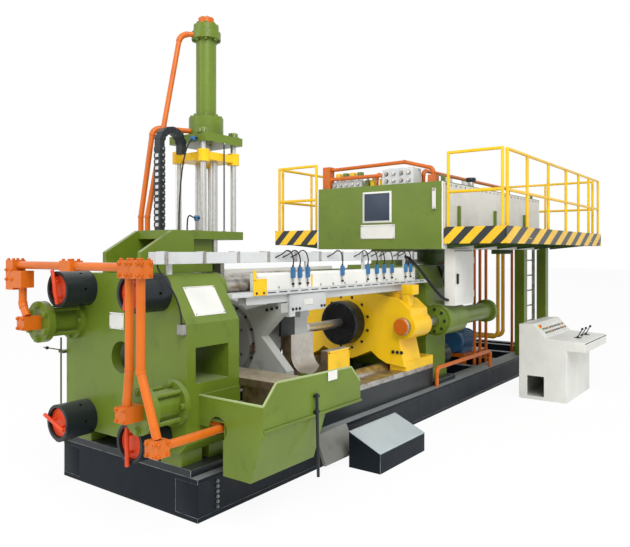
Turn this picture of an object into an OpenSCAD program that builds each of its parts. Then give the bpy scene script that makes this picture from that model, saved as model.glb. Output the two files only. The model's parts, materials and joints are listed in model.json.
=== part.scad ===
/* [Press axis] */
// Height of the press axis above the floor
axis_z = 1230; // [1150:5:1300]
// Half the distance between the tie rods across the press
tie_y = 506; // [480:1:515]
// Half the distance between the tie rods up the press
tie_z = 590; // [570:1:600]
// Diameter of the tie rods
tie_d = 190; // [160:1:200]
// Running gap round a rod that slides
run_gap = 1; // [0.5:0.1:2]
// Seat gap between round pieces that are bolted up
seat_gap = 0.4; // [0.2:0.1:0.6]

/* [Base] */
// Length of the base
base_len = 9180; // [9000:10:9400]
// Distance from the base's front end to the die face
base_ahead = 570; // [560:5:620]
// Half the width of the base
base_half_w = 930; // [920:5:960]
// Height of the base's side beams
base_h = 345; // [330:5:350]
// Height of the pad under the front platen
pad_z = 407; // [390:1:420]
// Height of the top of the guide rails
rail_z = 660; // [650:1:670]
// Thickness of the steel plate in the base
base_plate = 40; // [30:1:50]

/* [Front platen] */
// Thickness of the front platen along the press
platen_t = 600; // [560:5:620]
// Half the width of both platens
platen_half_w = 838; // [820:1:850]
// Height of the underside of both platens
platen_bottom = 520; // [500:5:530]
// Height of the top of both platens
platen_top = 1960; // [1950:5:1980]
// Height where the platen's shoulders start
shoulder_z = 1570; // [1540:5:1600]
// Half the width of the platen's top
platen_top_half = 580; // [570:5:600]
// Diameter of the exit bore
exit_d = 280; // [260:5:300]
// Diameter of the bore behind the die
bolster_d = 240; // [220:5:250]
// Diameter of the tie rod nuts
nut_d = 320; // [300:5:330]
// Length of the front nuts
nut_len = 300; // [280:5:320]

/* [Container] */
// Radius of the container drum
drum_r = 400; // [380:5:410]
// Length of the container drum
drum_len = 560; // [500:10:600]
// Distance from the die face of the platen to the open container
drum_x = 680; // [660:5:700]
// Diameter of the container's bore
drum_bore = 130; // [120:1:150]
// Sideways place of the container shift cylinders
shift_y = 700; // [690:1:710]
// Height of the shift cylinders above and below the axis
shift_z = 295; // [285:1:300]
// Diameter of the shift cylinders' caps
shift_cap_d = 370; // [350:5:380]
// Diameter of the shift rods
shift_rod_d = 90; // [80:1:100]

/* [Die shear] */
// Distance of the shear's centre line behind the die face
shear_x = 410; // [405:1:415]
// Half the distance between the columns along the press
col_x = 205; // [200:1:215]
// Half the distance between the columns across the press
col_y = 175; // [165:1:185]
// Diameter of the columns
col_d = 56; // [50:1:60]
// Height of the top of the shear's base plate
shear_base_z = 2350; // [2340:5:2360]
// Height of the underside of the shear's moving crosshead
shear_head_z = 3040; // [3020:5:3050]
// Height of the underside of the shear's top plate
shear_top_z = 3210; // [3200:5:3230]
// Height of the top of the shear cylinder
shear_cyl_z = 4410; // [4380:5:4420]
// Outside diameter of the shear cylinder's tube
shear_tube_d = 200; // [190:5:210]
// Stroke of the shear
shear_stroke = 600; // [560:10:620]

/* [Ram] */
// Front face of the ram's crosshead, behind the die face
head_x = 2930; // [2920:5:2950]
// Length of the crosshead casting
head_len = 460; // [440:10:480]
// Length of the crosshead's feet on the rails
foot_len = 740; // [700:10:760]
// Diameter of the stem
stem_d = 110; // [100:1:115]
// Length of the stem in front of its holder
stem_len = 675; // [650:5:700]
// Outside diameter of the stem holder
holder_d = 567; // [540:1:580]
// Diameter of the main ram
ram_d = 420; // [400:5:440]
// Sideways place of the side cylinders
side_y = 850; // [845:1:860]
// Outside diameter of the side cylinders
side_d = 260; // [250:5:270]
// Diameter of the side rods
side_rod_d = 130; // [120:1:140]

/* [Cylinder platen] */
// Front face of the cylinder platen, behind the die face
rear_x = 3830; // [3810:5:3850]
// Thickness of the cylinder platen
rear_t = 600; // [580:5:620]
// Outside diameter of the main cylinder
main_d = 760; // [740:5:780]
// Length of the main cylinder behind the platen
main_len = 1170; // [1150:10:1200]

/* [Tank and platform] */
// Front of the oil tank, behind the die face
tank_x = 3690; // [3680:5:3700]
// Length of the oil tank
tank_len = 3990; // [3900:10:4050]
// Half the width of the oil tank
tank_half_w = 1030; // [1020:5:1040]
// Height of the tank's underside
tank_z = 2190; // [2180:5:2200]
// Height of the tank
tank_h = 900; // [880:5:920]
// Thickness of the tank's plates
tank_t = 10; // [8:1:12]
// Length of the platform
deck_len = 4920; // [4900:10:4960]
// Half the width over the platform
deck_half_w = 1860; // [1840:5:1880]
// Height of the platform's deck
deck_z = 2330; // [2325:1:2340]
// Height of the top rail above the floor
rail_top = 3455; // [3430:5:3470]
// Diameter of the railing's tube
rail_d = 42; // [38:1:48]

/* [Stations beside the press] */
// Front of the operator console, behind the die face
console_x = 5310; // [5300:5:5330]
// Length of the operator console
console_len = 1280; // [1200:10:1300]
// Thickness of the console's sheet
console_t = 20; // [10:1:25]
// Front of the electrical cabinet, behind the die face
cabinet_x = 3880; // [3870:5:3890]
// Width of the electrical cabinet
cabinet_w = 630; // [600:5:640]
// Width of the die tray
tray_w = 694; // [680:2:700]
// Thickness of the die tray's sheet
tray_t = 12; // [10:1:14]

/* [Hidden] */
$fn = 64;

green = "#5f8c2a";
dark_green = "#3c5f22";
yellow = "#f6c40f";
orange = "#e2581c";
black = "#23282b";
steel = "#b9bcbc";
grey = "#8d9092";
white = "#e6e6e0";
blue = "#1f6fb8";

base_x0 = -base_ahead;
base_x1 = base_x0 + base_len;
tie_places = [for (y = [-tie_y, tie_y], z = [axis_z - tie_z, axis_z + tie_z]) [y, z]];
shift_places = [[shift_y, axis_z + shift_z], [-shift_y, axis_z - shift_z]];
col_places = [for (x = [shear_x - col_x, shear_x + col_x], y = [-col_y, col_y]) [x, y]];
rear_end = rear_x + rear_t;
tank_x1 = tank_x + tank_len;
tank_top_z = tank_z + tank_h;
deck_x1 = tank_x + deck_len;

// A box between two opposite corners
module box(low, high) {
    translate(low) cube(high - low);
}

// A round bar along the press, at a place across it
module bar_x(d, x0, x1, place) {
    translate([x0, place[0], place[1]]) rotate([0, 90, 0]) cylinder(d = d, h = x1 - x0);
}

// A flat outline in Y and Z, drawn out along the press
module plate_x(x0, x1) {
    translate([x0, 0, 0]) rotate([90, 0, 90]) linear_extrude(x1 - x0) children();
}

// A flat outline in X and Z, drawn out across the press
module plate_y(y0, y1) {
    translate([0, y1, 0]) rotate([90, 0, 0]) linear_extrude(y1 - y0) children();
}

// The same thing on both sides of the press
module both_sides() {
    children();
    mirror([0, 1, 0]) children();
}

function unit(v) = v / norm(v);
function turn(a, b) = acos(max(-1, min(1, a * b)));

// A straight round bar from one point to another
module bar(p, q, d) {
    v = q - p;
    translate(p) rotate([0, acos(v[2] / norm(v)), atan2(v[1], v[0])]) cylinder(d = d, h = norm(v));
}

// A pipe through points, with a welded elbow of radius r at each inner point
elbow_wall = 4;
elbow_lap = 12;
module bent_pipe(pts, d, r) {
    last = len(pts) - 1;
    dirs = [for (i = [0:last - 1]) unit(pts[i + 1] - pts[i])];
    cut = [for (i = [0:last]) i == 0 || i == last ? 0
        : r * tan(turn(dirs[i - 1], dirs[i]) / 2) - elbow_lap];
    for (i = [0:last - 1])
        bar(pts[i] + dirs[i] * cut[i], pts[i + 1] - dirs[i] * cut[i + 1], d);
    for (i = [1:last - 1]) {
        a = dirs[i - 1];
        inward = unit(dirs[i] - a * (a * dirs[i]));
        up = cross(-inward, a);
        c = pts[i] - a * (cut[i] + elbow_lap) + inward * r;
        multmatrix([[-inward[0], a[0], up[0], c[0]], [-inward[1], a[1], up[1], c[1]],
            [-inward[2], a[2], up[2], c[2]], [0, 0, 0, 1]])
            rotate_extrude(angle = turn(a, dirs[i])) translate([r, 0]) circle(d = d + 2 * elbow_wall);
    }
}

// Base

rail_y0 = 620;
rail_y1 = 830;
rail_t = 60;
rail_x0 = 300;
rail_x1 = 3780;
web_in = 60;
bay_pitch = 860;

module base_frame() color(black) {
    // floor plate, side beams with their flanges, and cross members
    box([base_x0, -base_half_w, 0], [base_x1, base_half_w, base_plate]);
    both_sides() {
        box([base_x0 + 20, base_half_w - web_in - base_plate, base_plate],
            [base_x1 - 20, base_half_w - web_in, base_h]);
        box([base_x0, base_half_w - 260, base_h - base_plate], [base_x1, base_half_w, base_h]);
        for (x = [base_x0 + 60:bay_pitch / 2:base_x1 - 60])
            box([x, base_half_w - web_in, base_plate], [x + 24, base_half_w - 8, base_h - base_plate]);
    }
    for (x = [rail_x1 + bay_pitch:bay_pitch:base_x1 - 200])
        box([x, -base_half_w + 260, base_plate], [x + 120, base_half_w - 260, base_h]);
    // solid bed under the working end, and the end member
    box([base_x0, -base_half_w + 260, base_plate], [rail_x1 + 120, base_half_w - 260, base_h]);
    box([base_x1 - 140, -base_half_w + 260, base_plate], [base_x1, base_half_w - 260, base_h]);
}

// Beams under the guide rails, and the pads under both platens
pad_over = 12;
module bed_beams() color(black) {
    both_sides() box([rail_x0, rail_y0, base_h], [rail_x1, rail_y1, rail_z - rail_t]);
    box([base_x0, -platen_half_w - pad_over, base_h], [60, platen_half_w + pad_over, pad_z]);
    box([rear_x - 20, -platen_half_w - pad_over, base_h],
        [rear_end + 20, platen_half_w + pad_over, pad_z]);
}

module guide_rails() color(steel) both_sides()
    box([rail_x0, rail_y0, rail_z - rail_t], [rail_x1, rail_y1, rail_z]);

// Platens and tie rods

foot_w = 230;
corner_cut = 90;
window_h = 290;
window_front = 95;
window_back = 130;

module platen_outline() polygon([[-platen_half_w, platen_bottom + corner_cut],
    [-platen_half_w + corner_cut, platen_bottom], [platen_half_w - corner_cut, platen_bottom],
    [platen_half_w, platen_bottom + corner_cut], [platen_half_w, shoulder_z],
    [platen_top_half, platen_top], [-platen_top_half, platen_top], [-platen_half_w, shoulder_z]]);

module tie_holes(x0, x1) for (p = tie_places) bar_x(tie_d + 2 * seat_gap, x0 - 1, x1 + 1, p);

module platen_feet(x0, x1) for (x = [x0 + 30, x1 - 30 - foot_w]) both_sides()
    box([x, platen_half_w - corner_cut - 260, pad_z], [x + foot_w, platen_half_w - corner_cut - 10,
        platen_bottom + 5]);

module front_platen() color(green) difference() {
    union() {
        plate_x(-platen_t, 0) platen_outline();
        platen_feet(-platen_t, 0);
    }
    bar_x(exit_d, -platen_t - 1, -window_back, [0, axis_z]);
    bar_x(bolster_d, -window_back - 1, 1, [0, axis_z]);
    tie_holes(-platen_t, 0);
    for (p = shift_places) bar_x(shift_rod_d + 2 * run_gap, -platen_t - 1, 1, p);
    box([-platen_t + window_front, -platen_half_w - 1, axis_z - window_h / 2],
        [-window_back, platen_half_w + 1, axis_z + window_h / 2]);
}

nut_recess = 40;
nut_recess_d = 265;
spanner_d = 26;
spanner_deep = 45;
module tie_rods() color(steel) for (p = tie_places)
    bar_x(tie_d, -platen_t - nut_len + nut_recess, rear_end + nut_len - nut_recess, p);

// A round nut with a recessed end at x0 and spanner holes round its side
module nut(x0, x1, p) {
    outward = x1 > x0 ? 1 : -1;
    translate([x0, p[0], p[1]]) rotate([0, 90 * outward, 0]) difference() {
        cylinder(d = nut_d, h = nut_len);
        translate([0, 0, -1]) cylinder(d = tie_d + 2 * seat_gap, h = nut_len + 2);
        translate([0, 0, -1]) cylinder(d = nut_recess_d, h = nut_recess + 1);
        for (a = [30:60:330]) rotate(a) translate([nut_d / 2 - spanner_deep, 0, nut_len * 0.6])
            rotate([0, 90, 0]) cylinder(d = spanner_d, h = spanner_deep + 1);
    }
}

module tie_rod_nuts() color(black) for (p = tie_places) {
    nut(-platen_t - nut_len, -platen_t, p);
    nut(rear_end + nut_len, rear_end, p);
}

// Container shift cylinders on the front platen

shift_body_d = 240;
shift_bore = 150;
shift_back = -platen_t - 300;
shift_front = -platen_t - 370;
shift_flange = 50;
shift_bolt_r = 155;

module container_cylinders() color(green) for (p = shift_places) difference() {
    union() {
        bar_x(shift_cap_d, -platen_t - shift_flange, -platen_t, p);
        bar_x(shift_body_d, shift_back - 1, -platen_t - shift_flange + 1, p);
        bar_x(shift_cap_d, shift_front, shift_back, p);
        for (a = [45:90:315])
            bar_x(36, shift_back - 1, -platen_t - shift_flange + 1,
                p + shift_bolt_r * [cos(a), sin(a)]);
    }
    bar_x(shift_rod_d + 2 * run_gap, -platen_t - shift_flange - 2, -platen_t + 1, p);
    bar_x(shift_bore, shift_front + 25, -platen_t - shift_flange, p);
}

carriage_x0 = drum_x + 10;
carriage_x1 = carriage_x0 + 110;
module container_rods() color(steel) for (p = shift_places)
    bar_x(shift_rod_d, -platen_t - shift_flange + 10, carriage_x0, p);

pipe_d = 68;
pipe_x = shift_front - 100;
header_z = 2035;
header_y = 880;
block_half = 60;
drop_top = 1955;
low_block = 120;
riser_y = [-735, -865];
elbow_r = 95;
feed_y = -1050;
feed_z = 745;
feed_back = -platen_t + 280;

// A flange block round a pipe, at a place across the press
module pipe_block(y0, y1, z0, z1) box([pipe_x - block_half, y0, z0], [pipe_x + block_half, y1, z1]);

// A block on the end cap of a shift cylinder
module cap_block(p) box([pipe_x - block_half, p[0] - low_block / 2, p[1] - low_block / 2],
    [shift_front, p[0] + low_block / 2, p[1] + low_block / 2]);

module front_pipework() color(orange) {
    bar([pipe_x, riser_y[1], header_z], [pipe_x, header_y, header_z], pipe_d);
    pipe_block(header_y - 50, header_y + 70, header_z - 220, header_z + 45);
    pipe_block(header_y - 190, header_y - 49, header_z - 200, header_z - 50);
    pipe_block(-50, 100, header_z - 40, header_z + 45);
    for (y = riser_y) pipe_block(y - 64, y + 64, header_z - 80, header_z + 55);
    // drop to the far shift cylinder
    bent_pipe([[pipe_x, header_y - 110, header_z - 200], [pipe_x, header_y - 110, header_z - 350],
        [pipe_x, shift_places[0][0], shift_places[0][1] + low_block / 2]], pipe_d, elbow_r);
    cap_block(shift_places[0]);
    // drop to the near shift cylinder
    bent_pipe([[pipe_x, riser_y[0], drop_top], [pipe_x, riser_y[0], 1280],
        [pipe_x, shift_places[1][0], shift_places[1][1] + low_block / 2]], pipe_d, elbow_r);
    cap_block(shift_places[1]);
    // feed that runs back under the die tray
    bent_pipe([[pipe_x, riser_y[1], drop_top], [pipe_x, riser_y[1], 1270],
        [pipe_x, feed_y, feed_z + block_half]], pipe_d, elbow_r);
    pipe_block(feed_y - 65, feed_y + 65, feed_z - block_half, feed_z + block_half);
    bent_pipe([[pipe_x, feed_y, feed_z], [feed_back, feed_y, feed_z],
        [feed_back, -platen_half_w, feed_z]], pipe_d, elbow_r);
}

// Die shear

shear_plate_t = 80;
shear_half_w = 270;
shear_head_half = 260;
shear_head_x0 = shear_x - 250;
shear_head_x1 = shear_x + 250;
shear_rod_d = 70;
shear_rod_y = 110;
shear_piston_d = 90;
blade_t = 50;
blade_x0 = shear_x - 25;
housing_back = 313;
housing_half = 190;
shear_plate_x0 = -250;
gusset_t = 50;
gusset_h = 190;

module shear_housing() color(green) difference() {
    union() {
        box([shear_plate_x0, -shear_half_w, shear_base_z - shear_plate_t],
            [shear_head_x1, shear_half_w, shear_base_z]);
        // sloping gussets on the platen's top
        both_sides() plate_y(shear_half_w - gusset_t, shear_half_w)
            polygon([[-platen_t, platen_top], [-platen_t, platen_top + gusset_h],
                [shear_plate_x0, shear_base_z], [0, shear_base_z], [0, platen_top]]);
        // box behind the die face, set back from the gussets
        both_sides() plate_y(housing_half - gusset_t, housing_half)
            translate([-40, platen_top]) square([housing_back + 40, shear_base_z - platen_top - 1]);
        box([housing_back - 40, -housing_half, platen_top],
            [housing_back, housing_half, shear_base_z - 1]);
        box([-platen_t + 60, -shear_half_w, platen_top], [0, shear_half_w, platen_top + 30]);
    }
    for (y = [-shear_rod_y, shear_rod_y]) translate([shear_x, y, shear_base_z - shear_plate_t - 1])
        cylinder(d = shear_rod_d + 2 * run_gap, h = shear_plate_t + 2);
}

col_top = shear_top_z + 80;
module shear_columns() color(steel) for (p = col_places) translate([p[0], p[1], shear_base_z]) {
    cylinder(d = col_d, h = col_top - shear_base_z + 50);
    translate([0, 0, col_top - shear_base_z]) cylinder(d = 90, h = 40, $fn = 6);
}

module shear_top_plate() color(green) difference() {
    box([shear_head_x0, -shear_head_half, shear_top_z], [shear_head_x1, shear_head_half, col_top]);
    for (p = col_places) translate([p[0], p[1], shear_top_z - 1])
        cylinder(d = col_d + 2 * seat_gap, h = col_top - shear_top_z + 2);
    translate([shear_x, 0, shear_top_z - 1]) cylinder(d = shear_piston_d + 2 * run_gap, h = 100);
}

flange_h = 195;
shear_bore = shear_tube_d - 60;
shear_head_flange = 150;
shear_flange_d = 342;
module shear_cylinder() color(green) translate([shear_x, 0, 0]) difference() {
    union() {
        translate([0, 0, col_top]) cylinder(d = shear_flange_d, h = flange_h);
        translate([0, 0, col_top + 1]) cylinder(d = shear_tube_d, h = shear_cyl_z - col_top - 2);
        translate([0, 0, shear_cyl_z - shear_head_flange]) cylinder(d = shear_cap_d, h = 80);
        translate([0, 0, shear_cyl_z - 72]) cylinder(d = 250, h = 72);
    }
    translate([0, 0, col_top - 1]) cylinder(d = shear_piston_d + 2 * run_gap, h = flange_h + 2);
    translate([0, 0, col_top + flange_h])
        cylinder(d = shear_bore, h = shear_cyl_z - shear_head_flange - col_top - flange_h);
}

shear_pipe_y = 140;
shear_cap_d = 290;
module shear_pipes() color(orange) {
    translate([shear_x, 0, shear_cyl_z]) cylinder(d = 155, h = 70);
    // the upper pipe ends on the cylinder's cap, the lower one on its flange
    difference() {
        shear_pipe_runs();
        translate([shear_x, 0, shear_cyl_z - shear_head_flange]) cylinder(d = shear_cap_d, h = 80);
        translate([shear_x, 0, col_top]) cylinder(d = shear_flange_d, h = flange_h);
    }
}

shear_foot_h = 130;
module shear_pipe_runs() {
    top_z = shear_cyl_z - 110;
    low_z = col_top + 50;
    bent_pipe([[shear_x - 120, 40, top_z], [195, shear_pipe_y, top_z],
        [-205, shear_pipe_y, shear_base_z + shear_foot_h], [-205, shear_pipe_y, shear_base_z]], 50, 90);
    bent_pipe([[shear_x - 160, 50, low_z], [-80, shear_pipe_y + 75, low_z],
        [-222, shear_pipe_y + 75, shear_base_z + shear_foot_h], [-222, shear_pipe_y + 75, shear_base_z]],
        50, 90);
}

chain_x = -195;
chain_r = 130;
chain_top = 3160;
chain_end = 3080;
chain_w = 80;
chain_h = 56;
chain_y = -20;
link_pitch = 58;
link_over = 4;

module chain_link(h) translate([-chain_h / 2 - link_over, -chain_w / 2 - link_over, 0])
    cube([chain_h + 2 * link_over, chain_w + 2 * link_over, h]);

module drag_chain() color(black) translate([chain_x, chain_y, 0]) {
    translate([-chain_h / 2, -chain_w / 2, shear_base_z]) cube([chain_h, chain_w, chain_top - shear_base_z]);
    translate([2 * chain_r - chain_h / 2, -chain_w / 2, chain_end]) cube([chain_h, chain_w, chain_top - chain_end]);
    translate([chain_r, chain_w / 2, chain_top]) rotate([90, 0, 0]) {
        rotate_extrude(angle = 180) translate([chain_r - chain_h / 2, 0]) square([chain_h, chain_w]);
        for (a = [8:24:152]) rotate(a) rotate_extrude(angle = 17)
            translate([chain_r - chain_h / 2 - link_over, -link_over])
                square([chain_h + 2 * link_over, chain_w + 2 * link_over]);
    }
    for (z = [shear_base_z + 30:link_pitch:chain_top - link_pitch])
        translate([0, 0, z]) chain_link(link_pitch - 16);
}

head_t = 75;
boss_d = col_d + 64;
boss_h = 115;
module shear_crosshead() color(yellow) difference() {
    union() {
        // a flat cross between four round bosses
        translate([shear_x, 0, shear_head_z]) linear_extrude(head_t) {
            for (s = [-1, 1]) polygon([[-col_x - 30, s * (col_y - 55)], [-col_x + 30, s * (col_y + 45)],
                [col_x - 30, s * (col_y + 45)], [col_x + 30, s * (col_y - 55)], [90, 0], [-90, 0]]);
            square([2 * col_x + 40, 2 * col_y], center = true);
        }
        for (p = col_places) translate([p[0], p[1], shear_head_z - 20]) cylinder(d = boss_d, h = boss_h);
        translate([shear_x, 0, shear_head_z]) cylinder(d = 2 * boss_d, h = boss_h - 20);
    }
    for (p = col_places) translate([p[0], p[1], shear_head_z - 21])
        cylinder(d = col_d + 2 * run_gap, h = boss_h + 2);
}

blade_z0 = axis_z + 470;
blade_h = 400;
module shear_rods() color(steel) {
    for (y = [-shear_rod_y, shear_rod_y]) translate([shear_x, y, blade_z0 + blade_h])
        cylinder(d = shear_rod_d, h = shear_head_z - blade_z0 - blade_h);
    translate([shear_x, 0, shear_head_z + boss_h - 20])
        cylinder(d = shear_piston_d, h = shear_cyl_z - shear_head_flange - 20 - shear_head_z - boss_h);
}

module shear_blade() color(grey) plate_x(blade_x0, blade_x0 + blade_t)
    polygon([[-230, blade_z0 + blade_h], [-230, blade_z0 + 90], [-170, blade_z0], [170, blade_z0],
        [230, blade_z0 + 90], [230, blade_z0 + blade_h]]);

// Container

drum_step = 140;
drum_tail_r = 340;
module container_drum() color(grey) difference() {
    translate([drum_x, 0, axis_z]) rotate([0, 90, 0]) rotate_extrude()
        polygon([[drum_bore / 2, 0], [drum_r - 60, 0], [drum_r - 60, 30], [drum_r, 30],
            [drum_r, drum_len - drum_step], [drum_tail_r, drum_len - drum_step], [drum_tail_r, drum_len - 20],
            [drum_tail_r - 20, drum_len], [drum_bore / 2, drum_len]]);
    for (a = [30:60:330]) bar_x(36, drum_x - 1, drum_x + 40, [0, axis_z] + 250 * [cos(a), sin(a)]);
}

ring_r = drum_r + 40;
lug_r = 80;
shoe_y = 820;
arm_top = 1650;
beam_y0 = 612;
beam_y1 = 720;
beam_z0 = 1660;
beam_z1 = 1780;
beam_lip = 15;
beam_over = 40;
flange_t = 40;
arm_y = (beam_y0 + beam_y1) / 2;
arm_half = (beam_y1 - beam_y0) / 2 - beam_lip - 6;
slider_top = beam_z1 - flange_t - 8;

module container_carriage() color(grey) {
    difference() {
        plate_x(carriage_x0, carriage_x1) {
            translate([0, axis_z]) circle(r = ring_r);
            // four arms, to the overhead beams and to the rails
            both_sides_2d() {
                polygon([[0, 1100], [0, 1500], [283, 1567], [600, arm_top], [740, arm_top], [740, 1560], [485, 1315]]);
                polygon([[0, 900], [0, 1100], [485, 1315], [810, 1000], [shoe_y, 750], [shoe_y, 730],
                    [600, 730], [430, 830]]);
            }
            // ears that take the shift rods
            for (p = shift_places) translate(p) circle(r = lug_r);
        }
        bar_x(2 * drum_r + 2 * seat_gap, carriage_x0 - 1, carriage_x1 + 1, [0, axis_z]);
    }
    both_sides() {
        box([carriage_x0 - 80, rail_y0 + 5, rail_z + 0.5], [carriage_x1 + 80, shoe_y, rail_z + 90]);
        box([carriage_x0, arm_y - arm_half, arm_top - 1], [carriage_x1, arm_y + arm_half, slider_top]);
    }
}

// Overhead guides, cable tray and switches

beam_x0 = 220;
cover_x0 = 380;
cover_x1 = 3480;
cover_z1 = 1950;

module overhead_beams() color(grey) both_sides() {
    box([0, beam_y0, beam_z1 - flange_t], [rear_x, beam_y1 + beam_over, beam_z1]);
    for (y = [beam_y0, beam_y1 - beam_lip])
        box([beam_x0, y, beam_z0], [cover_x1, y + beam_lip, beam_z1 - flange_t + 1]);
}

module beam_covers() color(white) both_sides()
    plate_x(cover_x0, cover_x1) polygon([[beam_y0 + 5, beam_z1], [beam_y1, beam_z1],
        [beam_y1, cover_z1 - 20], [beam_y1 - 20, cover_z1], [beam_y0 + 5, cover_z1]]);

tray_y0 = -650;
tray_y1 = -550;
tray_z0 = 2050;
tray_z1 = 2150;
tray_x0 = -750;

module cable_tray() color(grey) {
    box([tray_x0, tray_y0, tray_z0], [tank_x - 20, tray_y1, tray_z1]);
    box([-platen_t + 30, -platen_top_half + 5, platen_top], [-platen_t + 80, -platen_top_half + 30, tray_z0]);
    for (x = [1200, 2300, 3300]) box([x, tray_y0, cover_z1], [x + 50, tray_y0 + 25, tray_z0]);
}

switch_x = [860, 970, 1100, 1730, 2260, 2460, 2630, 2820, 3170, 3300];
switch_t = 30;
switch_w = 42;
module limit_switches() color(blue) for (x = switch_x)
    box([x, -beam_y1 - switch_t, cover_z1 - 60], [x + switch_w, -beam_y1, cover_z1 + 50]);

// Billet loader

trough_x0 = 1145;
trough_x1 = 1530;
trough_y = -690;
trough_z = 1082;
trough_r = 190;
trough_low = 840;
trough_far_y = -376;
trough_near_y = -971;
trough_far_z = 1285;
trough_near_z = 1152;
loader_x0 = 815;
loader_x1 = 1424;
loader_out = -745;
loader_in = -511;
loader_z0 = 1556;
loader_cheek_z = 1732;
hanger_x0 = 1150;
hanger_t = 40;

module loader_carriage() color(grey) {
    // slide block under the beam, with a cheek up the beam's outer side
    plate_x(loader_x0, loader_x1) polygon([[loader_out, loader_z0], [loader_in, loader_z0],
        [loader_in - 79, beam_z0], [-beam_y1 - 2, beam_z0], [-beam_y1 - 2, loader_cheek_z],
        [loader_out, loader_cheek_z]]);
    // foot at the front corner
    box([loader_x0, loader_out, loader_z0 - 45], [loader_x0 + 90, loader_out + 70, loader_z0 + 1]);
    // hanger that carries the trough's far wall
    box([hanger_x0, trough_y + trough_r, trough_far_z], [loader_x1, trough_y + trough_r + hanger_t, loader_z0]);
    box([hanger_x0 + 60, trough_y + trough_r - 70, loader_z0 - 90],
        [loader_x1 - 60, trough_y + trough_r + 1, loader_z0 + 1]);
}

module loader_trough() color(steel) plate_x(trough_x0, trough_x1) difference() {
    polygon([[trough_near_y, trough_low + 60], [trough_near_y + 60, trough_low], [trough_far_y, trough_low],
        [trough_far_y, trough_far_z], [trough_y + trough_r, trough_far_z],
        [trough_y + trough_r, trough_near_z], [trough_near_y, trough_near_z]]);
    translate([trough_y, trough_z]) circle(r = trough_r);
    translate([trough_y - trough_r, trough_z]) square([2 * trough_r, trough_far_z]);
}

// Die tray, die slide, step and chute

tray_y = -platen_half_w;
tray_out = tray_y - tray_w;
tray_front = -platen_t + 130;
tray_back = 870;
tray_floor = 800;
sump_z = 390;
sump_x1 = 330;
sump_y = tray_out + 420;

module die_tray() color(green) {
    difference() {
        union() {
            plate_y(tray_out, tray_out + tray_t) polygon([[tray_front, tray_floor], [tray_front, 990],
                [tray_front + 155, 1148], [tray_back - 150, 1120], [tray_back, 970], [tray_back, tray_floor]]);
            box([tray_front, tray_out, 750], [tray_front + tray_t, tray_y, 990]);
            box([tray_back - tray_t, tray_out, tray_floor], [tray_back, tray_y, 970]);
            box([tray_front, tray_out, tray_floor], [tray_back, tray_y, tray_floor + tray_t]);
            box([tray_front, tray_y - tray_t, tray_floor], [0, tray_y, 990]);
            plate_x(tray_front, sump_x1) sump_outline(0);
        }
        plate_x(tray_front + tray_t, sump_x1 - tray_t) sump_outline(tray_t);
        // arch over the pipe that runs under the tray
        bar_x(200, tray_front - 1, tray_front + tray_t + 1, [feed_y, feed_z]);
    }
}

module sump_outline(wall) polygon([[sump_y - wall, tray_floor + (wall > 0 ? tray_t + 1 : 0)],
    [tray_out + wall, tray_floor + (wall > 0 ? tray_t + 1 : 0)],
    [tray_out + 130 + wall, sump_z + wall], [sump_y - wall, sump_z + wall]]);

slide_z0 = axis_z - 240;
slide_z1 = axis_z - 170;
die_x1 = 370;
cassette_half = 220;
die_bore = 200;

module die_slide() color("#7a5a45") difference() {
    union() {
        box([0, tray_out + 60, slide_z0], [die_x1, 400, slide_z1]);
        for (x = [20, die_x1 - 100]) box([x, tray_out + 60, tray_floor + tray_t],
            [x + 80, tray_y - 20, slide_z0]);
        box([0, -cassette_half, slide_z1], [die_x1, cassette_half, axis_z + 220]);
    }
    bar_x(die_bore, -1, die_x1 + 1, [0, axis_z]);
}

step_x0 = 1254;
step_x1 = 2184;
step_y0 = -1515;
step_y1 = -1150;
step_low = 194;
step_high = 357;
module step_box() color(black) plate_x(step_x0, step_x1)
    polygon([[step_y0, 0], [step_y0, step_low], [step_y1, step_high], [step_y1, 0]]);

module chute() color(grey) {
    plate_x(980, 1520) polygon([[-base_half_w, base_h], [-base_half_w, base_h - 30], [-1030, 60], [-1060, 60],
        [-1060, 90], [-base_half_w - 18, base_h]]);
}

// Ram

foot_z = rail_z + 0.5;
lug_d = 320;
hub_r = 400;
head_top = 1627;

module crosshead_outline() {
    translate([0, axis_z]) circle(r = hub_r);
    both_sides_2d() {
        translate([side_y, axis_z]) circle(d = lug_d);
        polygon([[0, axis_z - 220], [side_y, axis_z - lug_d / 2], [side_y, axis_z + lug_d / 2], [0, axis_z + 260]]);
        // legs on the rails, with an arch on each side of the middle
        polygon([[0, axis_z], [0, 752], [99, 764], [375, 881], [480, 800], [600, 746], [860, foot_z + 60],
            [740, axis_z]]);
        // shoulders under the overhead beams
        polygon([[0, axis_z], [0, head_top + 10], [450, head_top], [arm_y + 75, 1570], [797, 1554], [940, 1438],
            [side_y + 100, axis_z + 100]]);
    }
}

module both_sides_2d() {
    children();
    mirror([1, 0]) children();
}

module crosshead() color(yellow) difference() {
    union() {
        plate_x(head_x, head_x + head_len) crosshead_outline();
        both_sides() {
            box([head_x + 50, rail_y0 + 5, foot_z], [head_x + 50 + foot_len, 860, foot_z + 120]);
            box([head_x + 100, arm_y - 75, 1550], [head_x + head_len, arm_y + 75, 1620]);
            box([head_x + 100, arm_y - arm_half, 1600], [head_x + head_len, arm_y + arm_half, slider_top]);
        }
        bar_x(660, head_x + head_len - 1, head_x + foot_len + 50, [0, axis_z]);
    }
    both_sides() bar_x(side_rod_d + 2 * seat_gap, head_x - 1, head_x + head_len + 1, [side_y, axis_z]);
    tie_clear();
}

// Room for the tie rods past the crosshead
module tie_clear() for (p = tie_places) bar_x(tie_d + 30, head_x - 1, head_x + foot_len + 60, p);

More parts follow.
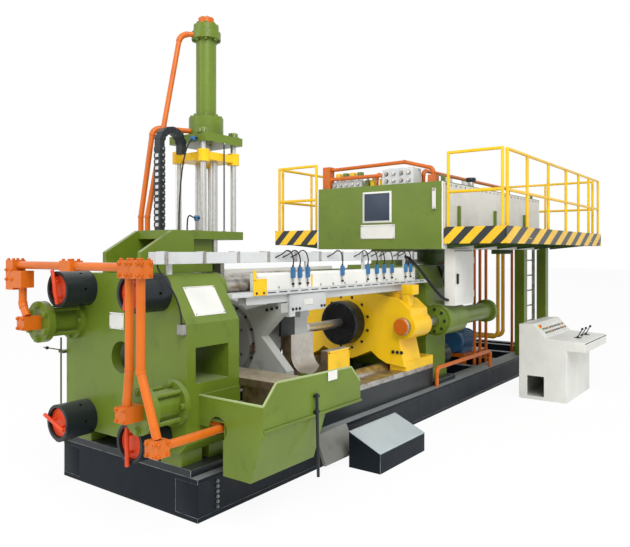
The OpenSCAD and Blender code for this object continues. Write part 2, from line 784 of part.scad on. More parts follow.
holder_len = 200;
module stem_holder() color(black) difference() {
    translate([head_x - holder_len, 0, axis_z]) rotate([0, 90, 0]) rotate_extrude()
        polygon([[0, 40], [stem_d / 2 + 60, 40], [holder_d / 2 - 80, 0], [holder_d / 2 - 20, 0], [holder_d / 2, 20],
            [holder_d / 2, holder_len], [0, holder_len]]);
    bar_x(stem_d + 2 * seat_gap, head_x - holder_len - 1, head_x - 60, [0, axis_z]);
}

module stem() color(steel)
    bar_x(stem_d, head_x - holder_len - stem_len, head_x - 60, [0, axis_z]);

ram_x0 = head_x + foot_len + 50;
ram_end = rear_x + 1430;
module main_ram() color(steel) bar_x(ram_d, ram_x0, ram_end, [0, axis_z]);

side_end = 5500;
module side_rods() color(steel) both_sides() bar_x(side_rod_d, head_x, side_end, [side_y, axis_z]);

module side_rod_ends() color(orange) both_sides() bar_x(218, head_x - 80, head_x, [side_y, axis_z]);

// Cylinder platen, main cylinder and side cylinders

side_flange_d = 350;
side_flange_x = rear_x - 50;
side_x1 = 5630;
pedestal_half = 200;
waist = 60;
body_half = 700;
side_lug = 70;

module cylinder_platen() color(green) difference() {
    union() {
        plate_x(rear_x, rear_end) offset(r = -waist) offset(delta = waist) {
            polygon([[-body_half, platen_bottom], [body_half, platen_bottom], [body_half, shoulder_z + 60],
                [platen_top_half, platen_top], [-platen_top_half, platen_top], [-body_half, shoulder_z + 60]]);
            both_sides_2d() translate([side_y, axis_z]) circle(d = side_flange_d + side_lug);
        }
        platen_feet(rear_x, rear_end);
        box([rear_x + 40, -pedestal_half, platen_top - 1], [rear_end, pedestal_half, tank_z]);
    }
    tie_holes(rear_x, rear_end);
    bar_x(ram_d + 2 * run_gap, rear_x - 1, rear_end + 1, [0, axis_z]);
    both_sides() bar_x(side_d + 2 * seat_gap, rear_x - 1, rear_end + 1, [side_y, axis_z]);
}

prefill_x = rear_end + 960;
prefill_d = 600;
prefill_neck = 300;
prefill_z = 1935;
module main_cylinder() color(green) difference() {
    union() {
        bar_x(main_d, rear_end, rear_end + main_len, [0, axis_z]);
        bar_x(main_d + 80, rear_end + main_len - 160, rear_end + main_len, [0, axis_z]);
        translate([prefill_x, 0, axis_z]) cylinder(d = prefill_neck, h = prefill_z - axis_z);
    }
    bar_x(ram_d + 2 * run_gap, rear_end - 1, ram_end + 20, [0, axis_z]);
}

module side_cylinders() color(green) both_sides() difference() {
    union() {
        bar_x(side_flange_d, side_flange_x, rear_x, [side_y, axis_z]);
        bar_x(side_d, side_flange_x + 1, side_x1, [side_y, axis_z]);
        bar_x(side_flange_d, rear_end, rear_end + 60, [side_y, axis_z]);
        bar_x(side_flange_d, side_x1 - 90, side_x1, [side_y, axis_z]);
    }
    bar_x(side_rod_d + 2 * run_gap, side_flange_x - 1, side_end + 1, [side_y, axis_z]);
}

// Rounded bowl under the tank that feeds the main cylinder
module prefill_housing() color(dark_green) translate([prefill_x, 0, prefill_z]) rotate_extrude()
    polygon([[0, 0], [prefill_neck / 2 + 30, 0], [prefill_d / 2 - 60, 25], [prefill_d / 2 - 20, 60],
        [prefill_d / 2, 120], [prefill_d / 2, tank_z - prefill_z - 40], [prefill_d / 2 + 40, tank_z - prefill_z - 40],
        [prefill_d / 2 + 40, tank_z - prefill_z], [0, tank_z - prefill_z]]);

// Oil tank

rib_x = [tank_x + 420, tank_x + 1750, tank_x + 3100];
rib_top = 2780;

module oil_tank() color(white) difference() {
    box([tank_x, -tank_half_w, tank_z], [tank_x1, tank_half_w, tank_top_z - tank_t]);
    box([tank_x + tank_t, -tank_half_w + tank_t, tank_z + tank_t],
        [tank_x1 - tank_t, tank_half_w - tank_t, tank_top_z]);
}

module tank_front() color(green)
    box([tank_x - tank_t, -tank_half_w, tank_z], [tank_x, tank_half_w, tank_top_z]);

module tank_top() color(green)
    box([tank_x, -tank_half_w, tank_top_z - tank_t], [tank_x1, tank_half_w, tank_top_z]);

module tank_ribs() color(green) both_sides() for (x = rib_x)
    box([x, tank_half_w, deck_z], [x + 45, tank_half_w + 40, rib_top]);

manifold_h = 217;
bank_x = tank_x + 80;
bank_h = 100;
valve_d = 90;
filter_d = 180;
module tank_valves() color(grey) {
    // manifold block at the front edge, and a bank of valves beside it
    box([tank_x + 20, -569, tank_top_z], [tank_x + 260, -81, tank_top_z + manifold_h]);
    for (y = [-480:155:-170]) translate([tank_x + 140, y, tank_top_z + manifold_h - 1]) cylinder(d = valve_d, h = 20);
    box([bank_x, 300, tank_top_z], [bank_x + 160, 820, tank_top_z + bank_h]);
    for (y = [370:125:750]) translate([bank_x + 80, y, tank_top_z + bank_h - 1]) cylinder(d = valve_d, h = 61);
    for (x = [tank_x + 1500, tank_x + 2300]) {
        box([x, -500, tank_top_z], [x + 300, -100, tank_top_z + 120]);
        translate([x + 150, -300, tank_top_z + 119]) cylinder(d = filter_d, h = 150);
    }
}

tank_pipe_d = 54;
tank_bend = 80;
run_x = tank_x + 340;
run_z = tank_top_z + 205;
header_x = tank_x + 160;
low_header_x = tank_x + 40;
module tank_pipes() color(orange) {
    // long runs over the tank
    for (y = [-560, 200]) bent_pipe([[run_x, y, tank_top_z], [run_x, y, run_z],
        [tank_x1 - 300, y, run_z], [tank_x1 - 300, y, tank_top_z]], tank_pipe_d, tank_bend);
    // upper header, from the corner block over the manifold and down
    box([header_x - 60, 880, tank_top_z], [header_x + 60, 1010, tank_top_z + 340]);
    bent_pipe([[header_x, 881, tank_top_z + 295], [header_x, -360, tank_top_z + 320],
        [header_x, -800, tank_top_z + 200], [header_x, -800, tank_top_z]], tank_pipe_d, tank_bend);
    // lower header, from the manifold along the front edge
    bent_pipe([[low_header_x, -81, tank_top_z + 140], [low_header_x, 850, tank_top_z + 140],
        [low_header_x, 850, tank_top_z]], tank_pipe_d, tank_bend);
    box([header_x - 50, -860, tank_top_z], [header_x + 50, -740, tank_top_z + 110]);
}

// Platform

deck_t = 30;
board_t = 12;
board_z0 = deck_z - 70;
board_z1 = deck_z + 150;
post_x = [tank_x + 60, tank_x + 900, tank_x + 1840, tank_x + 2760, tank_x + 3500, tank_x + 4180, deck_x1 - 60];
rail_y = deck_half_w - 30;
mid_z = 2940;
rear_bays = 4;

module platform_deck() color(dark_green) {
    both_sides() {
        box([tank_x, tank_half_w, deck_z - deck_t], [deck_x1, deck_half_w, deck_z]);
        for (x = [tank_x + 100:900:deck_x1 - 100]) plate_x(x, x + 20)
            polygon([[tank_half_w, deck_z - deck_t], [deck_half_w, deck_z - deck_t],
                [deck_half_w, deck_z - deck_t - 20], [tank_half_w, tank_z + 5]]);
    }
    box([tank_x1, -tank_half_w + 2, deck_z - deck_t], [deck_x1, tank_half_w - 2, deck_z]);
}

module toe_boards() color(yellow) {
    both_sides() {
        box([tank_x, deck_half_w, board_z0], [deck_x1, deck_half_w + board_t, board_z1]);
        box([tank_x - board_t, tank_half_w + 2, board_z0], [tank_x, deck_half_w, board_z1]);
    }
    box([deck_x1, -deck_half_w, board_z0], [deck_x1 + board_t, deck_half_w, board_z1]);
}

// One flat railing with posts at the given distances, from a corner along a direction
module railing(start, along, posts) {
    far = posts[len(posts) - 1];
    for (s = posts) bar(start + along * s, start + along * s + [0, 0, rail_top - deck_z], rail_d);
    for (z = [mid_z, rail_top]) bar(start + [0, 0, z - deck_z], start + along * far + [0, 0, z - deck_z], rail_d);
    for (s = [0, far]) translate(start + along * s + [0, 0, rail_top - deck_z]) sphere(d = rail_d);
}

module railings() color(yellow) {
    both_sides() {
        railing([post_x[0] + 80, rail_y, deck_z], [1, 0, 0], [for (x = post_x) max(0, x - post_x[0] - 80)]);
        railing([tank_x + 30, tank_half_w + 50, deck_z], [0, 1, 0], [0, rail_y - tank_half_w - 50 - 20]);
    }
    railing([deck_x1 - 30, -rail_y + 100, deck_z], [0, 1, 0],
        [for (i = [0:rear_bays]) i * (2 * rail_y - 200) / rear_bays]);
}

column_w = 170;
column_y = 880;
column_x = [tank_x + 3440, deck_x1 - 260];
module support_columns() color(green) both_sides() {
    box([column_x[0] - column_w / 2, column_y - column_w / 2, base_h],
        [column_x[0] + column_w / 2, column_y + column_w / 2, tank_z]);
    box([column_x[1] - column_w / 2, column_y - column_w / 2, base_h],
        [column_x[1] + column_w / 2, column_y + column_w / 2, deck_z - deck_t]);
}

drop_y = -600;
drop_x = [5736, 5964, 6221, 7467];
drop_d = 50;
side_run_x = [rear_x - 40, side_x1 + 60];
side_run_y = -880;
side_run_z = 590;
module drop_pipes() color(orange) {
    for (x = drop_x) translate([x, drop_y, base_plate]) cylinder(d = drop_d, h = tank_z - base_plate);
    bent_pipe([[side_run_x[0], side_run_y, base_h], [side_run_x[0], side_run_y, side_run_z],
        [side_run_x[1], side_run_y, side_run_z], [side_run_x[1], side_run_y, base_h]], tank_pipe_d, tank_bend);
}

suction_x = [6769, 7010];
suction_d = 62;
suction_bend = 110;
module suction_pipes() color(yellow) for (i = [0, 1])
    bent_pipe([[suction_x[i], drop_y, tank_z], [suction_x[i], drop_y, motor_z],
        [suction_x[i], motor_y[i], motor_z], [pump_x + pump_end, motor_y[i], motor_z]], suction_d, suction_bend);

pump_x = 5760;
pump_len = 900;
pump_half = 420;
pump_leg = 80;
pump_top = 480;
pump_end = 760;
module pump_frame() color(orange) {
    for (x = [pump_x, pump_x + pump_len - pump_leg]) both_sides()
        box([x, pump_half - pump_leg, base_plate], [x + pump_leg, pump_half, pump_top - 59]);
    box([pump_x, -pump_half, pump_top - 60], [pump_x + pump_len, pump_half, pump_top]);
}

motor_d = 330;
motor_y = [-210, 210];
motor_z = pump_top + motor_d / 2 + 20;
module pump_motors() color(blue) for (y = motor_y) {
    bar_x(motor_d, pump_x + 60, pump_x + 560, [y, motor_z]);
    box([pump_x + 100, y - 130, pump_top], [pump_x + 520, y + 130, pump_top + 80]);
    bar_x(200, pump_x + 559, pump_x + pump_end, [y, motor_z]);
}

ladder_back = 460;
ladder_w = 450;
ladder_x = [deck_x1 - ladder_back - ladder_w, deck_x1 - ladder_back];
ladder_y = -770;
module ladder() color(steel) {
    for (x = ladder_x) box([x - 15, ladder_y - 25, base_h], [x + 15, ladder_y + 25, deck_z - deck_t]);
    for (z = [base_h + 250:280:deck_z - 200])
        bar([ladder_x[0], ladder_y, z], [ladder_x[1], ladder_y, z], 26);
}

// Electrical cabinet and console

cabinet_y0 = -1100;
cabinet_y1 = -950;
cabinet_z0 = 1430;
door_t = 18;
door_gap = 0.5;

module electrical_cabinet() color(white) difference() {
    box([cabinet_x, cabinet_y0 + door_t, cabinet_z0], [cabinet_x + cabinet_w, cabinet_y1, tank_z]);
    box([cabinet_x + 20, cabinet_y0, cabinet_z0 + 20], [cabinet_x + cabinet_w - 20, cabinet_y1 - 15, tank_z - 20]);
}

hinge_d = 16;
hinge_x = cabinet_x + cabinet_w - 2;
module cabinet_door() color(white) {
    box([cabinet_x + 2, cabinet_y0 - door_gap, cabinet_z0 + 2],
        [hinge_x, cabinet_y0 + door_t - door_gap, tank_z - 30]);
    // hinge knuckles on the door's back edge
    for (z = [cabinet_z0 + 90, tank_z - 200])
        translate([hinge_x, cabinet_y0 - door_gap, z]) cylinder(d = hinge_d, h = 90);
}

console_profile = [[-1470, 0], [-1470, 1090], [-1680, 1100], [-1870, 900], [-2400, 880], [-2400, 740],
    [-2150, 740], [-2150, 0]];

module console() color(white) difference() {
    plate_x(console_x, console_x + console_len) polygon(console_profile);
    plate_x(console_x + console_t, console_x + console_len - console_t)
        polygon([[-1470 - console_t, console_t], [-1470 - console_t, 1060], [-1660, 1070], [-1850, 870],
            [-2150 + console_t, 860], [-2150 + console_t, console_t]]);
    box([console_x - 1, -1830, 50], [console_x + console_t + 1, -1590, 340]);
}

lever_x = console_x + 700;
lever_y = -2180;
lever_hub_d = 30;
desk_z = 900 - 20 * (-1870 - lever_y) / 530;
lever_z = desk_z + lever_hub_d / 2 + seat_gap;
module console_lever() color(black) {
    bar([lever_x, lever_y, lever_z], [lever_x, lever_y - 60, lever_z + 110], 14);
    translate([lever_x, lever_y - 60, lever_z + 110]) sphere(d = 36);
    bar([lever_x - 20, lever_y, lever_z], [lever_x + 20, lever_y, lever_z], lever_hub_d);
}

// Cable leads, each a round cord along a smooth curve between two clips

lead_sides = 8;
lead_steps = 10;
lead_d = 14;
hose_d = 40;
function curve(p, t) = pow(1 - t, 3) * p[0] + 3 * pow(1 - t, 2) * t * p[1] + 3 * (1 - t) * t * t * p[2]
    + pow(t, 3) * p[3];
function heading(p, t) = let (v = 3 * pow(1 - t, 2) * (p[1] - p[0]) + 6 * (1 - t) * t * (p[2] - p[1])
    + 3 * t * t * (p[3] - p[2])) v / norm(v);
function across(v) = let (w = cross(v, [0.9, 0.1, 0.42])) w / norm(w);

module lead(p, d) {
    rings = [for (i = [0:lead_steps]) let (t = i / lead_steps, v = heading(p, t), a = across(v), b = cross(v, a))
        for (j = [0:lead_sides - 1]) curve(p, t)
            + d / 2 * (cos(360 * j / lead_sides) * a + sin(360 * j / lead_sides) * b)];
    sides = [for (i = [0:lead_steps - 1], j = [0:lead_sides - 1], half = [0, 1])
        let (k = (j + 1) % lead_sides, low = i * lead_sides, up = low + lead_sides)
            half == 0 ? [low + j, up + j, up + k] : [low + j, up + k, low + k]];
    last = lead_steps * lead_sides;
    polyhedron(rings, concat(sides, [[for (j = [0:lead_sides - 1]) j]],
        [[for (j = [lead_sides - 1:-1:0]) last + j]]));
}

lead_off = 0.5;
module cable_leads() color(black) {
    // each switch lead loops up to the cable tray
    for (x = switch_x) {
        sx = x + switch_w / 2;
        sy = -beam_y1 - switch_t / 2;
        sz = cover_z1 + 50 + lead_off;
        lead([[sx, sy, sz], [sx, sy, sz + 130], [x - 40, tray_y0 - 190, tray_z1 - 40],
            [x - 40, tray_y0 - lead_off, tray_z1 - 40]], lead_d);
    }
    // hose from the tray's end down to the cabinet
    lead([[3330, tray_y0 - lead_off, 2090], [3330, -800, 2090], [3600, -1000, 1505],
        [cabinet_x - lead_off, -1000, 1505]], hose_d);
    // leads of the shear's two sensors
    lead([[shear_head_x0 - lead_off, -110, 3235], [40, -110, 3235], [-120, -200, 2900],
        [-120, -200, shear_base_z + lead_off]], lead_d);
    lead([[80, -200, 2470], [20, -200, 2470], [-40, -220, 2560], [-40, -220, shear_base_z + lead_off]], lead_d);
    // lead from the platen's junction box up to the tray
    lead([[-platen_t - 20, -800, 1570], [-platen_t - 20, -800, 1850], [tray_x0 + 50, tray_y0 + 50, 1960],
        [tray_x0 + 50, tray_y0 + 50, tray_z0 - lead_off]], lead_d);
}

base_frame();
bed_beams();
guide_rails();
front_platen();
tie_rods();
tie_rod_nuts();
container_cylinders();
container_rods();
front_pipework();
shear_housing();
shear_columns();
shear_top_plate();
shear_cylinder();
shear_pipes();
drag_chain();
shear_crosshead();
shear_rods();
shear_blade();
container_drum();
container_carriage();
overhead_beams();
beam_covers();
cable_tray();
limit_switches();
loader_carriage();
loader_trough();
die_tray();
die_slide();
step_box();
chute();
crosshead();
stem_holder();
stem();
main_ram();
side_rods();
side_rod_ends();
cylinder_platen();
main_cylinder();
side_cylinders();
prefill_housing();
oil_tank();
tank_front();
tank_top();
tank_ribs();
tank_valves();
tank_pipes();
platform_deck();
toe_boards();
railings();
support_columns();
drop_pipes();
suction_pipes();
pump_frame();
pump_motors();
ladder();
electrical_cabinet();
cabinet_door();
console();
console_lever();
cable_leads();
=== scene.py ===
# %% [markdown]
# # A hydraulic extrusion press
# The press squeezes a hot billet through a die. Its solids come from the shared frame, already at their
# real size, so this lesson only dresses them: softened edges, enamel, machined steel, bolts and plates.

# %% Load the frame
import json
import math

import bpy
from mathutils import Matrix, Vector

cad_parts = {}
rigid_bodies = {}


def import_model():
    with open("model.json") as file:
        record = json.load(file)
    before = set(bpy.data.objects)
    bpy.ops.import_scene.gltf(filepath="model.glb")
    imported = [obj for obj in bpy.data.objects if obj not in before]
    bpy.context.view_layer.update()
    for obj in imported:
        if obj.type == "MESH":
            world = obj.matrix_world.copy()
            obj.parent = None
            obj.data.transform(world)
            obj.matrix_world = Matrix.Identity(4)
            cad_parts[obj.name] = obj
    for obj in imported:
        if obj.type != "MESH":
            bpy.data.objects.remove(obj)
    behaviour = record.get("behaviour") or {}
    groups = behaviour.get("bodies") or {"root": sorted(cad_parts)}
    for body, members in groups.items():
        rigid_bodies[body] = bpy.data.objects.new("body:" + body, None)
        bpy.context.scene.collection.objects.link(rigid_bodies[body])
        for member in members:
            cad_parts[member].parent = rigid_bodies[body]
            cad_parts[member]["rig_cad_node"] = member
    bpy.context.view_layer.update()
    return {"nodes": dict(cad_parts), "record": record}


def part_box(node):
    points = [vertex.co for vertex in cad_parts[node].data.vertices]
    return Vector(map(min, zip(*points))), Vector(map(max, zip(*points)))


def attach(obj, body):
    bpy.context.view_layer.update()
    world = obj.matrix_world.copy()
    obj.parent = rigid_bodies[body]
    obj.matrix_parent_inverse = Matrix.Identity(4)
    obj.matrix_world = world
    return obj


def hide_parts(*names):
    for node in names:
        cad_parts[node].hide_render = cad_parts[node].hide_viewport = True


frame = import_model()
nodes = frame["nodes"]

# %% [markdown]
# ## Camera
# The photograph was taken at eye height beside the front corner. Its vanishing points give the direction
# and the focal length; the horizon lies above the middle of the picture, so the lens is shifted down.

# %% Place the camera
PHOTO_W = 630
FOCAL_PX = 638
HORIZON_ABOVE_MIDDLE_PX = 21.5
EYE = Vector((-4.06, -4.684, 2.15))
HEADING_DEG = -53.34
SENSOR_MM = 36
SEES_TO_M = 500

scene = bpy.context.scene
scene.view_settings.view_transform = "Standard"
bpy.ops.object.camera_add(location=EYE, rotation=(math.radians(90), 0, math.radians(HEADING_DEG)))
camera = bpy.context.active_object
camera.data.sensor_width = SENSOR_MM
camera.data.lens = SENSOR_MM * FOCAL_PX / PHOTO_W
camera.data.shift_y = -HORIZON_ABOVE_MIDDLE_PX / PHOTO_W
camera.data.clip_end = SEES_TO_M
scene.camera = camera
print("lens", round(camera.data.lens, 2), "mm")

# %% [markdown]
# ## Floor and light
# A catalogue picture has a white surround. The floor is pale and catches the shadow, the world is plain
# white where the camera or a reflection sees it, and two broad lamps model the forms.

# %% Sizes, lamps and small shader helpers
FLOOR_SIZE = 160
FLOOR_MIDDLE = (3.5, 0, -0.001)
FLOOR_COLOUR = (0.93, 0.93, 0.92, 1)
FLOOR_WHITE = 0.93
SURROUND_LIGHT = 0.62
KEY_PLACE, KEY_AIM, KEY_SIZE, KEY_POWER = (-5, -9, 12), (3, 0, 1.2), 9, 1750
FILL_PLACE, FILL_AIM, FILL_SIZE, FILL_POWER = (-12, 6, 8), (0, 0, 1.5), 10, 650


def make_material(name):
    material = bpy.data.materials.new(name)
    material.use_nodes = True
    tree = material.node_tree
    return material, tree, tree.nodes["Principled BSDF"]


def link(tree, source, target):
    tree.links.new(source, target)


def calc(tree, operation, first, second=None):
    node = tree.nodes.new("ShaderNodeMath")
    node.operation = operation
    link(tree, first, node.inputs[0])
    if second:
        link(tree, second, node.inputs[1])
    return node.outputs[0]


def scaled(tree, value, factor):
    result = calc(tree, "MULTIPLY", value)
    result.node.inputs[1].default_value = factor
    return result


def between(tree, value, low, high):
    node = tree.nodes.new("ShaderNodeMapRange")
    node.inputs["To Min"].default_value = low
    node.inputs["To Max"].default_value = high
    link(tree, value, node.inputs["Value"])
    return node.outputs["Result"]


def background_rays(tree):
    path = tree.nodes.new("ShaderNodeLightPath")
    seen = path.outputs["Is Camera Ray"]
    for ray in ("Is Glossy Ray", "Is Transmission Ray"):
        seen = calc(tree, "MAXIMUM", seen, path.outputs[ray])
    return seen


print("floor", FLOOR_SIZE, "m wide")

# %% White world and pale floor


def make_world():
    world = bpy.data.worlds.new("studio")
    world.use_nodes = True
    scene.world = world
    tree = world.node_tree
    background = tree.nodes["Background"]
    background.inputs["Color"].default_value = (1, 1, 1, 1)
    strength = between(tree, background_rays(tree), SURROUND_LIGHT, 1.0)
    link(tree, strength, background.inputs["Strength"])


def make_floor():
    bpy.ops.object.select_all(action="DESELECT")
    bpy.ops.mesh.primitive_plane_add(size=FLOOR_SIZE, location=FLOOR_MIDDLE)
    floor = bpy.context.active_object
    floor.name = "studio_floor"
    material, tree, shader = make_material("floor_pale")
    shader.inputs["Base Color"].default_value = FLOOR_COLOUR
    shader.inputs["Roughness"].default_value = 0.95
    shader.inputs["Specular IOR Level"].default_value = 0.0
    glow = tree.nodes.new("ShaderNodeEmission")
    blend = tree.nodes.new("ShaderNodeMixShader")
    link(tree, scaled(tree, background_rays(tree), FLOOR_WHITE), blend.inputs["Fac"])
    link(tree, shader.outputs[0], blend.inputs[1])
    link(tree, glow.outputs[0], blend.inputs[2])
    link(tree, blend.outputs[0], tree.nodes["Material Output"].inputs["Surface"])
    floor.data.materials.append(material)


make_world()
make_floor()
print("world and floor made")

# %% Two broad lamps


def make_lamp(name, place, aim, size, power):
    bpy.ops.object.light_add(type="AREA", location=place)
    lamp = bpy.context.active_object
    lamp.name = name
    lamp.data.energy = power
    lamp.data.size = size
    lamp.rotation_euler = (Vector(aim) - Vector(place)).to_track_quat("-Z", "Y").to_euler()


make_lamp("key_lamp", KEY_PLACE, KEY_AIM, KEY_SIZE, KEY_POWER)
make_lamp("fill_lamp", FILL_PLACE, FILL_AIM, FILL_SIZE, FILL_POWER)
print("studio with key lamp", KEY_POWER, "W and fill lamp", FILL_POWER, "W")

# %% [markdown]
# ## Finishes
# Shop enamel is never one flat colour. Each paint mixes a cloudy tone, fine orange-peel bump, a little
# settled dust on what faces up, and oily grime in blotches. All patterns read Object coordinates, so
# they stay on the pieces.

# %% Nodes that a finish is made of
CLOUD_SCALE, BLOTCH_SCALE, DULL_SCALE, PEEL_SCALE = 1.6, 5.5, 7.0, 160.0
GRAIN_SCALE, STAIN_SCALE = 90.0, 9.0
DUST_COLOUR = (0.55, 0.54, 0.5, 1)


def shade(colour, factor):
    return tuple(min(1.0, c * factor) for c in colour[:3]) + (1,)


def noise(tree, coords, scale, detail=4.0, rough=0.55):
    node = tree.nodes.new("ShaderNodeTexNoise")
    node.inputs["Scale"].default_value = scale
    node.inputs["Detail"].default_value = detail
    node.inputs["Roughness"].default_value = rough
    link(tree, coords, node.inputs["Vector"])
    return node.outputs["Fac"]


def ramp(tree, value, low, high):
    node = tree.nodes.new("ShaderNodeMapRange")
    node.inputs["From Min"].default_value = low
    node.inputs["From Max"].default_value = high
    link(tree, value, node.inputs["Value"])
    return node.outputs["Result"]


def mixed(tree, factor, first, second):
    node = tree.nodes.new("ShaderNodeMix")
    node.data_type = "RGBA"
    link(tree, factor, node.inputs["Factor"])
    for socket, value in (("A", first), ("B", second)):
        target = [s for s in node.inputs if s.name == socket and s.type == "RGBA"][0]
        if isinstance(value, tuple):
            target.default_value = value
        else:
            link(tree, value, target)
    return [s for s in node.outputs if s.type == "RGBA"][0]


def bump(tree, shader, height, strength, distance=0.002):
    node = tree.nodes.new("ShaderNodeBump")
    node.inputs["Strength"].default_value = strength
    node.inputs["Distance"].default_value = distance
    link(tree, height, node.inputs["Height"])
    link(tree, node.outputs["Normal"], shader.inputs["Normal"])


def facing_up(tree):
    geometry = tree.nodes.new("ShaderNodeNewGeometry")
    split = tree.nodes.new("ShaderNodeSeparateXYZ")
    link(tree, geometry.outputs["Normal"], split.inputs[0])
    return ramp(tree, split.outputs["Z"], 0.5, 1.0)


def paint_colour(tree, coords, colour, dust, grime):
    cloud = ramp(tree, noise(tree, coords, CLOUD_SCALE), 0.3, 0.7)
    body = mixed(tree, cloud, shade(colour, 0.88), shade(colour, 1.1))
    blotch = ramp(tree, noise(tree, coords, BLOTCH_SCALE, 8.0, 0.62), 0.56, 0.74)
    body = mixed(tree, scaled(tree, blotch, grime), body, shade(colour, 0.35))
    settled = scaled(tree, facing_up(tree), dust)
    return mixed(tree, settled, body, DUST_COLOUR)


print("paint patterns at scales", CLOUD_SCALE, BLOTCH_SCALE, DULL_SCALE, PEEL_SCALE)


# %% [markdown]
# ## Paint, bare metal and stripes
# Three kinds of surface cover the press. Enamel has a thin clear coat over its colour, bare metal has a
# grain that is stretched the way the tool ran, and the toe boards have slanted stripes. A stripe is the
# fraction of a slanted distance, so it needs no picture and no unwrapping.

# %% Paint, bare metal and warning stripes


def make_paint(name, colour, rough=0.3, dust=0.16, grime=0.4, coat=0.08, gloss=0.3):
    material, tree, shader = make_material(name)
    coords = tree.nodes.new("ShaderNodeTexCoord").outputs["Object"]
    link(tree, paint_colour(tree, coords, colour, dust, grime), shader.inputs["Base Color"])
    dull = between(tree, noise(tree, coords, DULL_SCALE), rough - 0.06, rough + 0.16)
    link(tree, dull, shader.inputs["Roughness"])
    shader.inputs["Specular IOR Level"].default_value = gloss
    shader.inputs["Coat Weight"].default_value = coat
    shader.inputs["Coat Roughness"].default_value = 0.2
    bump(tree, shader, noise(tree, coords, PEEL_SCALE, 2.0), 0.12)
    return material


def make_metal(name, colour, rough, stretch, scratch=0.25, stain=None):
    material, tree, shader = make_material(name)
    coords = tree.nodes.new("ShaderNodeTexCoord").outputs["Object"]
    mapping = tree.nodes.new("ShaderNodeMapping")
    mapping.inputs["Scale"].default_value = stretch
    link(tree, coords, mapping.inputs["Vector"])
    grain = noise(tree, mapping.outputs["Vector"], GRAIN_SCALE, 3.0)
    body = mixed(tree, ramp(tree, grain, 0.3, 0.7), shade(colour, 0.85), shade(colour, 1.1))
    if stain:
        spots = ramp(tree, noise(tree, coords, STAIN_SCALE, 8.0, 0.65), 0.46, 0.68)
        body = mixed(tree, spots, body, stain)
    link(tree, body, shader.inputs["Base Color"])
    shader.inputs["Metallic"].default_value = 1.0
    link(tree, between(tree, grain, rough, rough + 0.2), shader.inputs["Roughness"])
    bump(tree, shader, grain, scratch, 0.0006)
    return material


def make_stripes(name, light, dark, pitch, share):
    material, tree, shader = make_material(name)
    coords = tree.nodes.new("ShaderNodeTexCoord").outputs["Object"]
    split = tree.nodes.new("ShaderNodeSeparateXYZ")
    link(tree, coords, split.inputs[0])
    slant = calc(tree, "SUBTRACT", scaled(tree, split.outputs["X"], 0.5), split.outputs["Y"])
    lean = calc(tree, "SUBTRACT", slant, split.outputs["Z"])
    wave = calc(tree, "FRACT", scaled(tree, lean, 1 / pitch))
    dark_part = ramp(tree, wave, share, share + 0.01)
    first = paint_colour(tree, coords, light, 0.1, 0.25)
    second = paint_colour(tree, coords, dark, 0.1, 0.25)
    link(tree, mixed(tree, dark_part, first, second), shader.inputs["Base Color"])
    shader.inputs["Roughness"].default_value = 0.38
    return material


print("paint, metal and stripes ready")


# %% [markdown]
# ## The press's own colours
# Colours are linear values, as a shader takes them. The first group of finishes belongs to the slots of
# the record, and the others are for single pieces, such as a rubbed edge or an old board.

# %% Finishes of the press
# The numbers of a paint are its roughness, dust, grime, coat and gloss
GREEN = (0.128, 0.192, 0.016)
DARK_GREEN = (0.05, 0.09, 0.018)
YELLOW = (0.88, 0.53, 0.006)
ORANGE = (0.58, 0.126, 0.006)
BLACK = (0.011, 0.016, 0.019)
WHITE = (0.77, 0.77, 0.73)
GREY = (0.27, 0.27, 0.25)
LIGHT_GREY = (0.58, 0.6, 0.6)
BLUE = (0.04, 0.16, 0.34)
MUSTARD = (0.72, 0.39, 0.012)

finish = {
    "green_paint": make_paint("green_enamel", GREEN, 0.3),
    "dark_green_paint": make_paint("dark_green_enamel", DARK_GREEN, 0.34),
    "yellow_paint": make_paint("yellow_enamel", YELLOW, 0.3, 0.05, 0.25),
    "mustard_paint": make_paint("mustard_enamel", MUSTARD, 0.34, 0.05, 0.35),
    "orange_paint": make_paint("orange_enamel", ORANGE, 0.28, 0.05, 0.3),
    "black_paint": make_paint("black_enamel", BLACK, 0.32, 0.06, 0.2),
    "white_paint": make_paint("white_enamel", WHITE, 0.36, 0.06, 0.12),
    "grey_paint": make_paint("grey_enamel", GREY, 0.38, 0.1, 0.45),
    "blue_paint": make_paint("blue_enamel", BLUE, 0.3, 0.05, 0.2),
    "machined_steel": make_metal("machined_steel", (0.52, 0.5, 0.47), 0.3, (0.15, 1, 1), 0.3,
                                 (0.2, 0.17, 0.13, 1)),
    "black_rubber": make_paint("cable_rubber", (0.014, 0.014, 0.015), 0.55, 0.08, 0.1, 0.0),
    "chrome": make_metal("ground_chrome", (0.6, 0.6, 0.57), 0.22, (1, 1, 0.3), 0.05),
    "tool_steel": make_metal("tool_steel", (0.3, 0.22, 0.17), 0.42, (1, 1, 1), 0.4,
                             (0.16, 0.07, 0.03, 1)),
}
green, yellow, orange = finish["green_paint"], finish["yellow_paint"], finish["orange_paint"]
black, white, grey = finish["black_paint"], finish["white_paint"], finish["grey_paint"]
blue, steel = finish["blue_paint"], finish["machined_steel"]
stripes = make_stripes("hazard_stripes", YELLOW, BLACK, 0.275, 0.52)
black_rubber = make_paint("black_rubber", (0.018, 0.018, 0.019), 0.55, 0.05, 0.1, 0.0)
red_enamel = make_paint("red_enamel", (0.7, 0.06, 0.01), 0.36, 0.02, 0.35)
light_grey = make_paint("light_grey_enamel", LIGHT_GREY, 0.4, 0.05, 0.25)
worn_edge = make_metal("worn_edge", (0.3, 0.31, 0.31), 0.4, (1, 1, 1), 0.2, (0.05, 0.06, 0.06, 1))
trough_polish = make_metal("trough_polish", (0.6, 0.57, 0.52), 0.34, (1, 0.2, 0.2), 0.2, (0.5, 0.46, 0.4, 1))
